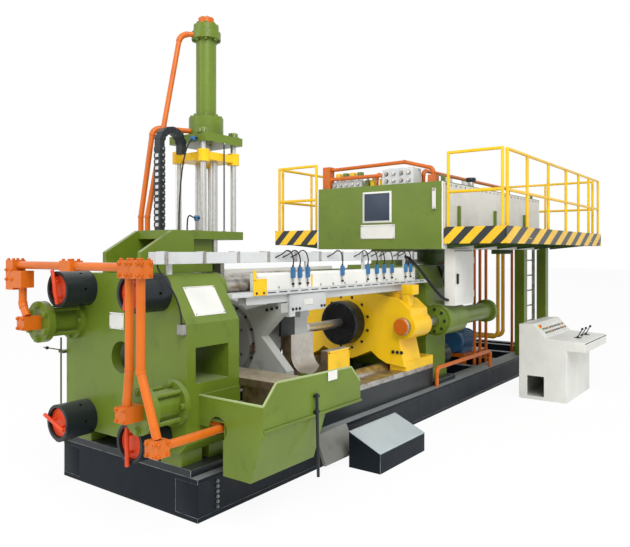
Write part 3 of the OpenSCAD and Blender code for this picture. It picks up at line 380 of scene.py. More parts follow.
# trough_shade_brown is painted shade: a dark brown for the loader trough's front faces, which lie in shadow
trough_shade_brown = make_metal("trough_shade_brown", (0.36, 0.27, 0.17), 0.5, (1, 1, 1), 0.4, (0.2, 0.14, 0.09, 1))
frame_black = make_paint("frame_black", (0.005, 0.0095, 0.015), 0.42, 0.03, 0.2, 0.0, 0.14)
# frame_deck_grey is a paler grey for the upward faces of the base deck
frame_deck_grey = make_paint("frame_deck_grey", (0.19, 0.215, 0.22), 0.5, 0.1, 0.5, 0.0, 0.2)
holder_dark = make_paint("holder_dark", (0.008, 0.007, 0.007), 0.55, 0.02, 0.2, 0.0, 0.15)
slide_top = make_metal("slide_top", (0.62, 0.54, 0.4), 0.42, (1, 0.2, 1), 0.3, (0.4, 0.32, 0.22, 1))
stem_steel = make_metal("stem_steel", (0.78, 0.77, 0.75), 0.33, (0.2, 1, 1), 0.2)
plate_navy = make_paint("plate_navy", (0.035, 0.05, 0.08), 0.4, 0.05, 0.1)
plate_white = make_paint("plate_white", (0.74, 0.74, 0.7), 0.4, 0.03, 0.1, 0.1)
# container_grey is lighter than the grey paint: painted bounce light on the container's carriage, which lies
# in the beam covers' shadow
container_grey = make_paint("container_grey", (0.42, 0.43, 0.4), 0.42, 0.1, 0.5)
green_lens = make_paint("green_lens", (0.02, 0.3, 0.06), 0.2, 0.02, 0.05)
# lit_rim_green is the green made lighter: a painted highlight on the tray's rolled rims
lit_rim_green = make_paint("lit_rim_green", (0.32, 0.4, 0.16), 0.4, 0.2, 0.2)
tread_grey = make_paint("tread_grey", (0.42, 0.48, 0.5), 0.45, 0.1, 0.3)
board_brown = make_metal("board_brown", (0.2, 0.11, 0.05), 0.7, (1, 0.1, 1), 0.5, (0.08, 0.05, 0.03, 1))
print("finishes:", ", ".join(sorted(finish)))

# %% [markdown]
# ## Dressing the solids
# A plate straight from the drawing has razor edges, and a real one is chamfered by the grinder and
# rounded by its paint. Each solid is copied, its loose triangles are merged into clean faces, and a
# small bevel runs along every sharp edge. On the black steelwork the bevel gets a second, rubbed finish.
# The copy then stands for the solid.

# %% Look up the slot and the body of each solid
slot_of = {row["node"]: row["material_slot"] for row in frame["record"]["subparts"]}
body_of = {}
for body_name, members in frame["record"]["behaviour"]["bodies"].items():
    for member in members:
        body_of[member] = body_name

# %% Edges and finishes of single solids
EDGE = {"base_frame": 0.004, "front_platen": 0.014, "cylinder_platen": 0.014, "crosshead": 0.022,
        "console": 0.008, "oil_tank": 0.004, "container_carriage": 0.008, "container_drum": 0.008,
        "shear_cylinder": 0.006, "railings": 0.0, "ladder": 0.002, "front_pipework": 0.003,
        "shear_pipes": 0.0, "tank_pipes": 0.0, "drop_pipes": 0.0, "die_tray": 0.002, "drag_chain": 0.003,
        "tie_rod_nuts": 0.008, "side_rod_ends": 0.02, "stem_holder": 0.006, "console_lever": 0.0,
        "toe_boards": 0.002, "tank_front": 0.002, "tank_top": 0.002}
EDGE_DEFAULT = 0.004
WORN = ("base_frame", "bed_beams", "step_box", "die_tray")
OWN_FINISH = {"toe_boards": stripes, "cable_tray": light_grey, "loader_carriage": light_grey,
              "overhead_beams": light_grey, "tank_valves": light_grey, "loader_trough": trough_polish,
              "base_frame": frame_black, "step_box": frame_black, "stem": stem_steel,
              "container_carriage": container_grey}
FLAT_SIDED = ("die_tray", "crosshead", "front_platen", "cylinder_platen", "container_carriage", "chute")
FLAT_DEG = 12
SHARP_DEG = 32
SAME_POINT = 0.00002
SAME_PLANE_DEG = 0.6
print(len(EDGE), "solids have an edge of their own,", len(OWN_FINISH), "a finish of their own")

# %% Copy, merge and bevel each solid


def deselect():
    if bpy.context.object and bpy.context.object.mode != "OBJECT":
        bpy.ops.object.mode_set(mode="OBJECT")
    bpy.ops.object.select_all(action="DESELECT")


def make_active(piece):
    deselect()
    piece.select_set(True)
    bpy.context.view_layer.objects.active = piece


def soften(piece, width, worn, sharp, segments=2):
    make_active(piece)
    bevel = piece.modifiers.new("edge", "BEVEL")
    bevel.width = width
    bevel.segments = segments
    bevel.limit_method = "ANGLE"
    bevel.angle_limit = sharp
    bevel.use_clamp_overlap = True
    bevel.harden_normals = True
    if worn:
        bevel.material = 1
    bpy.ops.object.modifier_apply(modifier=bevel.name)


def dress(node, material=None):
    deselect()
    source = nodes[node]
    piece = source.copy()
    piece.data = source.data.copy()
    piece.name = node + "_dressed"
    del piece["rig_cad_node"]
    piece.parent = None
    scene.collection.objects.link(piece)
    make_active(piece)
    bpy.ops.mesh.customdata_custom_splitnormals_clear()
    bpy.ops.object.mode_set(mode="EDIT")
    bpy.ops.mesh.select_all(action="SELECT")
    bpy.ops.mesh.remove_doubles(threshold=SAME_POINT)
    bpy.ops.mesh.dissolve_limited(angle_limit=math.radians(SAME_PLANE_DEG))
    bpy.ops.object.mode_set(mode="OBJECT")
    piece.data.materials.clear()
    piece.data.materials.append(material or finish[slot_of[node]])
    if node in WORN:
        piece.data.materials.append(worn_edge)
    sharp = math.radians(FLAT_DEG if node in FLAT_SIDED else SHARP_DEG)
    bpy.ops.object.shade_smooth_by_angle(angle=sharp)
    width = EDGE.get(node, EDGE_DEFAULT)
    if width > 0:
        soften(piece, width, node in WORN, sharp)
    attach(piece, body_of[node])
    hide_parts(node)
    return piece


dressed = {name: dress(name, OWN_FINISH.get(name)) for name in sorted(nodes)}
print("dressed", len(dressed), "solids")

# %% [markdown]
# ## Second finishes
# Some pieces wear two finishes, such as a scraped face on an oxidised casting, a paler grey on upward faces,
# or a dark brown that paints the shade on a front face. Those faces could be cut off as a piece of their own,
# but a second material on picked faces keeps the piece whole. They are picked by their place and by the way
# they face.

# %% Give some faces a second finish
AXIS_Z = 1.23
FACING = 0.9
BASE_DECK_Z = 0.3
HOLDER_FACE_RADIUS = 0.25


def second_finish(node, material, wanted):
    piece = dressed[node]
    piece.data.materials.append(material)
    last = len(piece.data.materials) - 1
    for face in piece.data.polygons:
        if wanted(face):
            face.material_index = last


def on_base_deck(face):
    return face.normal.z > FACING and face.center.z > BASE_DECK_Z


def on_holder_face(face):
    from_axis = face.center - Vector((face.center.x, 0, AXIS_Z))
    return face.normal.x < -0.1 and from_axis.length < HOLDER_FACE_RADIUS


# The trough's front faces get the dark brown of painted shade
second_finish("loader_trough", trough_shade_brown, lambda face: face.normal.x < -FACING)
# Upward faces of the base deck get the paler grey
second_finish("base_frame", frame_deck_grey, on_base_deck)
second_finish("die_slide", slide_top, lambda face: face.normal.z > FACING)
second_finish("side_rod_ends", steel, lambda face: abs(face.normal.x) < 0.5)
second_finish("stem_holder", holder_dark, on_holder_face)
print("five solids have a second finish")

# %% [markdown]
# ## Modelling by hand, in code
# Three small moves make nearly every fitting on a machine: a block with its edges broken, a turned pin with
# chamfered ends, and a face that is inset and pushed in. Each starts as a primitive and is shaped in edit
# mode. Faces are picked by the way they face, as a hand would click them.

# %% Blocks, pins and picked faces
FRONT, BACK = (-1, 0, 0), (1, 0, 0)
NEAR, FAR = (0, -1, 0), (0, 1, 0)
DOWN, UP = (0, 0, -1), (0, 0, 1)
SAME_WAY = 0.9
SAME_LEVEL = 0.0004


def block_at(centre, size, edge=0.003, turn=(0, 0, 0)):
    deselect()
    bpy.ops.mesh.primitive_cube_add(size=1, location=centre, rotation=turn, scale=size)
    piece = bpy.context.active_object
    bpy.ops.object.transform_apply(location=True, rotation=True, scale=True)
    bpy.ops.object.mode_set(mode="EDIT")
    bpy.ops.mesh.select_all(action="SELECT")
    bpy.ops.mesh.bevel(offset=edge, segments=2, affect="EDGES")
    bpy.ops.object.mode_set(mode="OBJECT")
    return piece


def block(low, high, edge=0.003):
    low, high = Vector(low), Vector(high)
    return block_at((low + high) / 2, high - low, edge)


def clear_picks(piece, kind):
    make_active(piece)
    bpy.ops.object.mode_set(mode="EDIT")
    bpy.ops.mesh.select_mode(type=kind)
    bpy.ops.mesh.select_all(action="DESELECT")
    bpy.ops.object.mode_set(mode="OBJECT")


def pick_faces(piece, direction):
    clear_picks(piece, "FACE")
    direction = Vector(direction).normalized()
    reach = max(face.center.dot(direction) for face in piece.data.polygons)
    for face in piece.data.polygons:
        level = face.center.dot(direction)
        face.select = face.normal.dot(direction) > SAME_WAY and level > reach - SAME_LEVEL
    bpy.ops.object.mode_set(mode="EDIT")


def pin(start, end, diameter, edge=0.002, sides=20):
    deselect()
    start, end = Vector(start), Vector(end)
    axis = end - start
    bpy.ops.mesh.primitive_cylinder_add(vertices=sides, radius=diameter / 2, depth=axis.length,
                                        location=(start + end) / 2,
                                        rotation=axis.to_track_quat("Z", "X").to_euler())
    piece = bpy.context.active_object
    bpy.ops.object.transform_apply(location=True, rotation=True, scale=True)
    for way in (axis, -axis):
        pick_faces(piece, way)
        bpy.ops.mesh.bevel(offset=edge, segments=2, affect="EDGES")
        bpy.ops.object.mode_set(mode="OBJECT")
    return piece


def sink(piece, direction, border, depth):
    pick_faces(piece, direction)
    bpy.ops.mesh.inset(thickness=border)
    inward = -Vector(direction).normalized() * depth
    bpy.ops.mesh.extrude_region_move(TRANSFORM_OT_translate={"value": inward})
    bpy.ops.object.mode_set(mode="OBJECT")
    return piece


print("faces count as level within", SAME_LEVEL, "m")

# %% [markdown]
# ## Joining and naming
# A fitting is a few shaped pieces, joined to one mesh with its own name. It rides on the body that it is
# bolted to, so that it moves along in every pose.

# %% Give pieces a finish, a body and a name


def paint(piece, material):
    piece.data.materials.clear()
    piece.data.materials.append(material)
    return piece


def painted(pieces, material):
    return [paint(piece, material) for piece in pieces]


def join(pieces):
    deselect()
    for piece in pieces:
        piece.select_set(True)
    bpy.context.view_layer.objects.active = pieces[0]
    if len(pieces) > 1:
        bpy.ops.object.join()
    return pieces[0]


def assemble(name, pieces, body):
    whole = join(pieces)
    make_active(whole)
    bpy.ops.object.transform_apply(location=True, rotation=True, scale=True)
    bpy.ops.object.shade_smooth_by_angle(angle=math.radians(SHARP_DEG))
    whole.name = name
    whole.data.name = name
    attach(whole, body)
    return whole


print("edges sharper than", SHARP_DEG, "degrees stay sharp")

# %% [markdown]
# ## Seats for copies
# Screws come in rings, rows and corners. A seat is a matrix with a place, the way out and a size. The
# mesh of the template is copied and moved by that matrix, so each copy stays at the origin, unturned.

# %% Find seats and set copies on them


def seat(point, normal, size=1.0, spin_deg=0.0):
    turn = Vector(normal).normalized().to_track_quat("Z", "Y").to_matrix().to_4x4()
    spin = Matrix.Rotation(math.radians(spin_deg), 4, "Z")
    return Matrix.Translation(Vector(point)) @ turn @ spin @ Matrix.Scale(size, 4)


def ring_seats(centre, normal, radius, count, size, start_deg=0.0):
    turn = Vector(normal).normalized().to_track_quat("Z", "Y").to_matrix()
    seats = []
    for step in range(count):
        angle = math.radians(start_deg + 360 * step / count)
        offset = turn @ Vector((radius * math.cos(angle), radius * math.sin(angle), 0))
        seats.append(seat(Vector(centre) + offset, normal, size))
    return seats


def row_seats(first, last, count, normal, size):
    start, end = Vector(first), Vector(last)
    return [seat(start.lerp(end, step / max(1, count - 1)), normal, size) for step in range(count)]


def corner_seats(centre, right, up, half_w, half_h, normal, size):
    centre, right, up = Vector(centre), Vector(right), Vector(up)
    return [seat(centre + right * a * half_w + up * b * half_h, normal, size)
            for a in (-1, 1) for b in (-1, 1)]


def copies_of(template, seats, material=None):
    made = []
    for place in seats:
        copy = template.copy()
        copy.data = template.data.copy()
        copy.data.transform(place)
        copy.matrix_world = Matrix.Identity(4)
        scene.collection.objects.link(copy)
        made.append(paint(copy, material) if material else copy)
    return made


def spread(template, name, seats, body, material=None):
    return assemble(name, copies_of(template, seats, material), body)


def drop_templates(*templates):
    for template in templates:
        bpy.data.objects.remove(template, do_unlink=True)


print("rings, rows and corners ready")

# %% [markdown]
# ## Screws and nuts
# Hydraulic flanges are held by rings of cap screws, and plates by hex bolts on washers. One screw of each
# kind is modelled: the head is chamfered and its socket is an inset face pushed down. Copies, each with
# its own mesh, are then set on their seats and joined into light groups. A screw is modelled 1 m across,
# so the size of a seat is the width of its head.

# %% Model one cap screw and one hex bolt
cap_screw = sink(pin((0, 0, 0), (0, 0, 0.6), 1.0, 0.06, 12), UP, 0.18, 0.3)
washer = pin((0, 0, 0), (0, 0, 0.12), 1.3, 0.03, 14)
hex_head = pin((0, 0, 0.1), (0, 0, 0.55), 1.0, 0.07, 6)
hex_bolt = join([hex_head, washer])
print("cap screw has", len(cap_screw.data.polygons), "faces, hex bolt", len(hex_bolt.data.polygons))

# %% [markdown]
# ## Bolts at the front and on the shear
# The two shift cylinders and the upright shear cylinder end in round flanges with rings of hex bolts.
# Large nuts hold the four columns to the plate under the cylinder. Where a seat is the top or the end of
# a solid, its place is measured on the frame.

# %% Bolt up the shift cylinders and the shear
SHIFT_RODS = [(0.7, 1.525), (-0.7, 0.935)]
shift_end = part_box("container_cylinders")[0].x
SHIFT_FLANGE_X = -0.65
SHEAR_X = 0.41
shear_plate_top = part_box("shear_top_plate")[1].z
shear_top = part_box("shear_cylinder")[1].z
shear_cap_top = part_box("shear_pipes")[1].z
SHEAR_FOOT_TOP, SHEAR_HEAD_UNDER = 3.485, 4.26
COLUMN_X, COLUMN_Y, COLUMN_NUT = 0.205, 0.175, 0.1

shift_seats = []
for y, z in SHIFT_RODS:
    shift_seats += ring_seats((shift_end, y, z), FRONT, 0.15, 6, 0.056, 30)
    shift_seats += ring_seats((SHIFT_FLANGE_X, y, z), FRONT, 0.155, 4, 0.046)
spread(hex_bolt, "shift_cylinder_bolts", shift_seats, "root", green)

shear_seats = ring_seats((SHEAR_X, 0, SHEAR_FOOT_TOP), UP, 0.138, 8, 0.044)
shear_seats += ring_seats((SHEAR_X, 0, shear_top), UP, 0.105, 8, 0.03)
shear_seats += ring_seats((SHEAR_X, 0, SHEAR_HEAD_UNDER), DOWN, 0.122, 8, 0.032)
shear_seats += [seat((SHEAR_X + x, y, shear_plate_top), UP, COLUMN_NUT)
                for x in (-COLUMN_X, COLUMN_X) for y in (-COLUMN_Y, COLUMN_Y)]
spread(hex_bolt, "shear_cylinder_bolts", shear_seats, "root", green)
shear_cap_seats = ring_seats((SHEAR_X, 0, shear_cap_top), UP, 0.054, 6, 0.024)
spread(hex_bolt, "shear_cap_bolts", shear_cap_seats, "root", orange)
print(len(shift_seats) + len(shear_seats), "bolts on the shift cylinders and the shear")

# %% [markdown]
# ## Pipe blocks
# The orange pipes meet in small square blocks, with four cap screws in an outer face. One helper gives
# the four seats, and the lists say which faces of the blocks get them.

# %% Screws in the blocks of the front pipes
BLOCK_TOPS = [(0.89, 2.08), (-0.735, 2.09), (-0.865, 2.09), (0.025, 2.08)]
BLOCK_FRONTS = [(0.7, 1.525), (-0.7, 0.935), (-1.05, 0.745), (-0.735, 2.022), (-0.865, 2.022), (0.89, 1.95)]
BLOCK_SIDES = [(-1.115, 0.745), (-0.929, 2.022)]
BLOCK_X = -1.07
BLOCK_SCREW_REACH, BLOCK_SCREW = 0.042, 0.026
block_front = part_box("front_pipework")[0].x


def block_screws(centre, right, up, out):
    return corner_seats(centre, right, up, BLOCK_SCREW_REACH, BLOCK_SCREW_REACH, out, BLOCK_SCREW)


pipe_seats = []
for y, z in BLOCK_TOPS:
    pipe_seats += block_screws((BLOCK_X, y, z), BACK, FAR, UP)
for y, z in BLOCK_FRONTS:
    pipe_seats += block_screws((block_front, y, z), FAR, UP, FRONT)
for y, z in BLOCK_SIDES:
    pipe_seats += block_screws((BLOCK_X, y, z), BACK, UP, NEAR)
spread(cap_screw, "pipe_block_screws", pipe_seats, "root", orange)
print(len(pipe_seats), "screws in the pipe blocks")

# %% [markdown]
# ## Screws that travel
# The container and the ram slide along the press, so their screws ride on those bodies. Rings of screws
# round the centre line show how the drum, the stem holder and the crosshead are held.

# %% Bolt up the container and the ram
DRUM_FLANGE_X = 0.71
drum_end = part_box("container_drum")[1].x
holder_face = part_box("stem_holder")[0].x
head_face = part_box("crosshead")[0].x
SHOE_Z, SHOE_INNER_Y, SHOE_OUTER_Y = 0.9, 0.7, 0.82

drum_seats = ring_seats((DRUM_FLANGE_X, 0, AXIS_Z), FRONT, 0.37, 16, 0.026)
drum_seats += ring_seats((drum_end, 0, AXIS_Z), BACK, 0.28, 12, 0.034)
spread(cap_screw, "container_screws", drum_seats, "container", black)

holder_seats = ring_seats((holder_face, 0, AXIS_Z), FRONT, 0.24, 12, 0.022)
spread(cap_screw, "stem_holder_screws", holder_seats, "ram", black)
head_seats = ring_seats((head_face, 0, AXIS_Z), FRONT, 0.338, 12, 0.03, 15)
for side in (-1, 1):
    inner = (head_face, side * SHOE_INNER_Y, SHOE_Z)
    outer = (head_face, side * SHOE_OUTER_Y, SHOE_Z)
    head_seats += row_seats(inner, outer, 3, FRONT, 0.036)
spread(hex_bolt, "crosshead_bolts", head_seats, "ram", black)
print(len(drum_seats) + len(holder_seats) + len(head_seats), "screws on the moving pieces")

# %% [markdown]
# ## The rear end
# Behind the ram lie the large cylinders, under a tank of folded sheet. The cylinders get rings of bolts
# on their ends, and the sides of the tank get two long rows of small ones.

# %% Bolt up the rear end
SIDE_ROD_Y = 0.85
PAN_X, PAN_FLANGE_UNDER = 5.39, 2.15
main_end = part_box("main_cylinder")[1].x
side_front, side_end = [corner.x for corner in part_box("side_cylinders")]
tank_near, tank_far = [corner.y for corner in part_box("oil_tank")]
TANK_ROWS_Z = (2.42, 3.05)
TANK_ROW_START, TANK_ROW_END, TANK_ROW_BOLTS = 3.76, 7.62, 26

rear_seats = ring_seats((main_end, 0, AXIS_Z), BACK, 0.37, 18, 0.05)
for y in (-SIDE_ROD_Y, SIDE_ROD_Y):
    rear_seats += ring_seats((side_front, y, AXIS_Z), FRONT, 0.148, 8, 0.034)
    rear_seats += ring_seats((side_end, y, AXIS_Z), BACK, 0.14, 8, 0.034)
rear_seats += ring_seats((PAN_X, 0, PAN_FLANGE_UNDER), DOWN, 0.321, 20, 0.022)
spread(hex_bolt, "rear_bolts", rear_seats, "root", black)

tank_seats = []
for y, out in ((tank_near, NEAR), (tank_far, FAR)):
    for z in TANK_ROWS_Z:
        tank_seats += row_seats((TANK_ROW_START, y, z), (TANK_ROW_END, y, z), TANK_ROW_BOLTS, out, 0.022)
spread(hex_bolt, "tank_bolts", tank_seats, "root", steel)
print(len(rear_seats) + len(tank_seats), "bolts on the rear end and the tank")

# %% [markdown]
# ## Tie rod nuts
# Each round nut shows a red cap in its recess, with a round bar across it as a handle. One cap is turned
# and pressed from a disc, then set into all eight nuts, each bar at its own angle.

# %% Cap the nuts
TIE_RODS = [(y, z) for y in (-0.506, 0.506) for z in (0.64, 1.82)]
BAR_ANGLES_DEG = [270, 75, 162, 105]
REAR_TURN_DEG = 20
BAR_LEVEL = 0.06
COLLAR_LENGTH, COLLAR_WIDTH = 0.05, 0.29
front_recess, rear_recess = [corner.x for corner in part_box("tie_rods")]

cap = sink(pin((0, 0, 0), (0, 0, 0.014), 0.256, 0.004, 40), UP, 0.016, 0.004)
cap_bar = pin((-0.135, 0, BAR_LEVEL), (0.178, 0, BAR_LEVEL), 0.034, 0.006, 16)
bar_studs = [pin((x, 0, 0.008), (x, 0, BAR_LEVEL + 0.004), 0.026, 0.003, 12) for x in (-0.07, 0.07)]
nut_cap = assemble("nut_cap_template", [cap, cap_bar] + bar_studs, "root")
cap_seats = []
for (y, z), angle in zip(TIE_RODS, BAR_ANGLES_DEG):
    cap_seats.append(seat((front_recess, y, z), FRONT, 1.0, angle))
    cap_seats.append(seat((rear_recess, y, z), BACK, 1.0, angle + REAR_TURN_DEG))
spread(nut_cap, "tie_rod_caps", cap_seats, "root", red_enamel)
drop_templates(nut_cap)

collars = []
for y, z in TIE_RODS:
    collar = pin((0, y, z), (COLLAR_LENGTH, y, z), COLLAR_WIDTH, 0.008, 40)
    collars.append(paint(sink(collar, BACK, 0.02, 0.006), green))
assemble("tie_rod_collars", collars, "root")
print(len(cap_seats), "caps and", len(collars), "collars")

# %% [markdown]
# ## Plates, panels and boxes
# Sheet panels and bare plates break up the big painted faces. A plate is a thin block whose face is inset
# and pushed in a little, so that a raised rim catches the light, and screws hold its corners.

# %% Make a rimmed plate
PLATE_EDGE = 0.0015


def rimmed_plate(centre, size, normal, rim, material, turn=(0, 0, 0), depth=0.002):
    plate = block_at(centre, size, PLATE_EDGE, turn)
    return paint(sink(plate, normal, rim, depth), material)


print("plate tools ready")

# %% [markdown]
# ## Front platen
# A pale panel covers the sloped shoulder, a small bare plate sits on the front, and a junction box stands
# near the edge. The panel's middle is found along the slope, and the panel is turned to lie in it.

# %% Plates on the front platen
SLOPE_ACROSS, SLOPE_UP = 0.5518, 0.834
SHOULDER_FOOT = Vector((-0.3, -0.838, 1.57))
SHOULDER_MIDDLE = 0.205
PLATE_Y, PLATE_Z = 0.063, 1.545
PLATE_SCREW = 0.012
JUNCTION_Y = -0.8
platen_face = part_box("front_platen")[0].x

slope = Vector((0, SLOPE_ACROSS, SLOPE_UP))
slope_out = Vector((0, -SLOPE_UP, SLOPE_ACROSS))
slope_turn = (math.atan2(SLOPE_UP, SLOPE_ACROSS) - math.pi, 0, 0)
shoulder_mid = SHOULDER_FOOT + slope * SHOULDER_MIDDLE + slope_out * 0.002
shoulder_panel = rimmed_plate(shoulder_mid, (0.35, 0.28, 0.006), slope_out, 0.01, plate_white, slope_turn)
front_plate = rimmed_plate((platen_face - 0.003, PLATE_Y, PLATE_Z), (0.006, 0.2, 0.145), FRONT, 0.01,
                           plate_white)
screw_seats = corner_seats((platen_face - 0.006, PLATE_Y, PLATE_Z), FAR, UP, 0.088, 0.06, FRONT, PLATE_SCREW)
shoulder_face = shoulder_mid + slope_out * 0.003
screw_seats += corner_seats(shoulder_face, BACK, slope, 0.16, 0.125, slope_out, PLATE_SCREW)
plate_screws = copies_of(cap_screw, screw_seats, steel)
assemble("platen_plates", [shoulder_panel, front_plate] + plate_screws, "root")

junction = block_at((platen_face - 0.02, JUNCTION_Y, 1.53), (0.04, 0.072, 0.08), 0.004)
junction = paint(sink(junction, FRONT, 0.006, -0.004), grey)
gland_x = platen_face - 0.02
gland = paint(pin((gland_x, JUNCTION_Y, 1.565), (gland_x, JUNCTION_Y, 1.585), 0.026, 0.003, 6), black_rubber)
assemble("junction_box", [junction, gland], "root")
print("platen plates and junction box on")

# %% [markdown]
# ## Tank front
# The front of the tank carries a framed dark plate, a bare label, a level gauge and pale strips along its
# edges. Each stands out by its own thickness, so that no two faces lie in one plane.

# %% Plates and gauge on the tank front
PLATE_AT = (-0.016, 2.78)
LABEL_AT = (-0.023, 2.434)
STRIP_Y, STRIP_Z = 1.018, 2.64
GAUGE_Y, GAUGE_Z, GAUGE_ENDS_Z = -0.899, 2.86, (2.735, 2.985)
tank_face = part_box("tank_front")[0].x

tank_plate = rimmed_plate((tank_face - 0.006, *PLATE_AT), (0.012, 0.47, 0.44), FRONT, 0.026, plate_white)
tank_field = paint(block_at((tank_face - 0.009, *PLATE_AT), (0.004, 0.412, 0.382), 0.001), plate_navy)
tank_label = rimmed_plate((tank_face - 0.005, *LABEL_AT), (0.01, 0.556, 0.2), FRONT, 0.014, plate_white)
edge_strips = [block_at((tank_face - 0.004, side * STRIP_Y, STRIP_Z), (0.008, 0.024, 0.89), 0.002)
               for side in (-1, 1)]
gauge_block = block_at((tank_face - 0.0125, GAUGE_Y, GAUGE_Z), (0.025, 0.052, 0.28), 0.006)
gauge = paint(sink(gauge_block, FRONT, 0.008, 0.006), plate_white)
gauge_ends = [pin((tank_face - 0.01, GAUGE_Y, z), (tank_face - 0.035, GAUGE_Y, z), 0.04, 0.004, 12)
              for z in GAUGE_ENDS_Z]
screw_seats = corner_seats((tank_face - 0.01, *LABEL_AT), FAR, UP, 0.262, 0.085, FRONT, 0.018)
tank_pieces = [tank_plate, tank_field, tank_label, gauge] + painted(edge_strips, plate_white)
tank_pieces += painted(gauge_ends, steel) + copies_of(cap_screw, screw_seats, steel)
assemble("tank_front_plates", tank_pieces, "root")
print(len(tank_pieces), "plates, strips and screws on the tank front")

# %% [markdown]
# ## Tank top
# Fitters reach into a tank through round manholes, lift it by lugs and let it breathe through a filter.
# A manhole's lid is a turned disc whose middle is inset and raised, with bolts round its rim.

# %% Manholes, lugs and a breather on the tank top
MANHOLES = ((4.7, 0.62), (6.85, 0.55), (6.85, -0.2))
LUG_X, LUG_Y = (3.86, 7.5), (-0.94, 0.74)
BREATHER_X, BREATHER_Y = 5.0, -0.85
BREATHER_NECK, BREATHER_TOP = 0.11, 0.17
tank_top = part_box("tank_top")[1].z

manholes = []
for x, y in MANHOLES:
    cover = pin((x, y, tank_top - 0.002), (x, y, tank_top + 0.022), 0.5, 0.004, 40)
    manholes.append(paint(sink(cover, UP, 0.06, -0.01), green))
    manholes += copies_of(hex_bolt, ring_seats((x, y, tank_top + 0.02), UP, 0.222, 14, 0.024), steel)
assemble("tank_manholes", manholes, "root")

lifting = []
for x in LUG_X:
    for y in LUG_Y:
        lug = block((x - 0.06, y - 0.01, tank_top - 0.005), (x + 0.06, y + 0.01, tank_top + 0.1), 0.006)
        lifting.append(paint(sink(lug, NEAR, 0.036, 0.004), green))
breather_foot = Vector((BREATHER_X, BREATHER_Y, tank_top - 0.005))
breather_neck = Vector((BREATHER_X, BREATHER_Y, tank_top + BREATHER_NECK))
breather_top = Vector((BREATHER_X, BREATHER_Y, tank_top + BREATHER_TOP))
breather = paint(pin(breather_foot, breather_neck, 0.09, 0.006), steel)
breather_cap = paint(sink(pin(breather_neck, breather_top, 0.15, 0.012, 28), UP, 0.02, 0.006), black)
assemble("tank_lugs_and_breather", lifting + [breather, breather_cap], "root")
print(len(manholes), "pieces of manholes and", len(lifting), "lugs")

# %% [markdown]
# ## Valves
# Valve blocks stand at the front of the tank's top. Plugs close their drilled holes, square coils sit on
# one bank, and small valves stand between the two. They are seen from far off, so a block or a pin with
# one sunk face is enough for each.

# %% Plugs, coils and small valves on the tank top
PLUG_X, PLUG_Y, PLUG_RISES = 3.71, (-0.5, -0.15), (0.05, 0.15)
BANK_X, BANK_Y, BANK_RISE = 3.77, (0.36, 0.76), 0.045
COIL_X, COIL_Y, COIL_RISE, COIL_HALF = 3.85, (0.37, 0.495, 0.62, 0.745), 0.155, 0.038
SMALL_VALVES = ((0.13, yellow), (0.22, green), (-0.02, yellow))
SMALL_VALVE_X = 3.82

plug_seats = []
for rise in PLUG_RISES:
    plug_row = [(PLUG_X, y, tank_top + rise) for y in PLUG_Y]
    plug_seats += row_seats(*plug_row, 4, FRONT, 0.052)
bank_row = [(BANK_X, y, tank_top + BANK_RISE) for y in BANK_Y]
plug_seats += row_seats(*bank_row, 5, FRONT, 0.04)
valve_pieces = copies_of(hex_bolt, plug_seats, steel)
coil_foot = tank_top + COIL_RISE - 0.004
for step, y in enumerate(COIL_Y):
    coil = block((COIL_X - COIL_HALF, y - COIL_HALF, coil_foot),
                 (COIL_X + COIL_HALF, y + COIL_HALF, coil_foot + 0.079), 0.006)
    valve_pieces.append(paint(sink(coil, UP, 0.01, 0.006), yellow if step % 2 else green))
for y, coat in SMALL_VALVES:
    valve = block((SMALL_VALVE_X - 0.04, y - 0.03, tank_top - 0.005),
                  (SMALL_VALVE_X + 0.04, y + 0.03, tank_top + 0.1), 0.006)
    stem_nut = pin((SMALL_VALVE_X, y, tank_top + 0.098), (SMALL_VALVE_X, y, tank_top + 0.13), 0.04, 0.004, 6)
    valve_pieces += [paint(sink(valve, FRONT, 0.012, 0.004), coat), paint(stem_nut, steel)]
assemble("tank_valve_fittings", valve_pieces, "root")
print(len(valve_pieces), "valve fittings on the tank top")

# %% [markdown]
# ## Shear fittings
# Two sensors watch the blade's travel, and a thin guide rod stands beside the columns. A sensor is a
# block with a round nose. The lower one stands on a bracket, clear of the moving crosshead.

# %% Sensors and the guide rod
SENSOR_X, SENSOR_Y, SENSOR_Z = 0.1, -0.2, 2.47
TOP_SENSOR_X, TOP_SENSOR_Y, TOP_SENSOR_Z = 0.139, -0.11, 3.235
GUIDE_ROD_Y = -0.25
ROD_NUT_HEIGHT = 0.014
housing_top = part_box("shear_housing")[1].z


def sensor_nose(x, face_y, z):
    return paint(pin((x, face_y, z), (x, face_y - 0.018, z), 0.022, 0.003, 14), black_rubber)


sensor_low = block_at((SENSOR_X - 0.001, SENSOR_Y, SENSOR_Z), (0.042, 0.036, 0.05), 0.005)
sensor_top = block_at((TOP_SENSOR_X, TOP_SENSOR_Y, TOP_SENSOR_Z), (0.042, 0.06, 0.04), 0.005)
sensor_post = block_at((SENSOR_X, SENSOR_Y, housing_top + 0.05), (0.024, 0.02, 0.1))
sensor_foot = block_at((SENSOR_X - 0.0075, SENSOR_Y, housing_top + 0.004), (0.065, 0.07, 0.008), 0.002)
sensors = painted([sensor_low, sensor_top], blue) + painted([sensor_post, sensor_foot], grey)
sensors += [sensor_nose(SENSOR_X, SENSOR_Y - 0.018, SENSOR_Z),
            sensor_nose(TOP_SENSOR_X, TOP_SENSOR_Y - 0.03, TOP_SENSOR_Z)]
assemble("shear_sensors", sensors, "root")

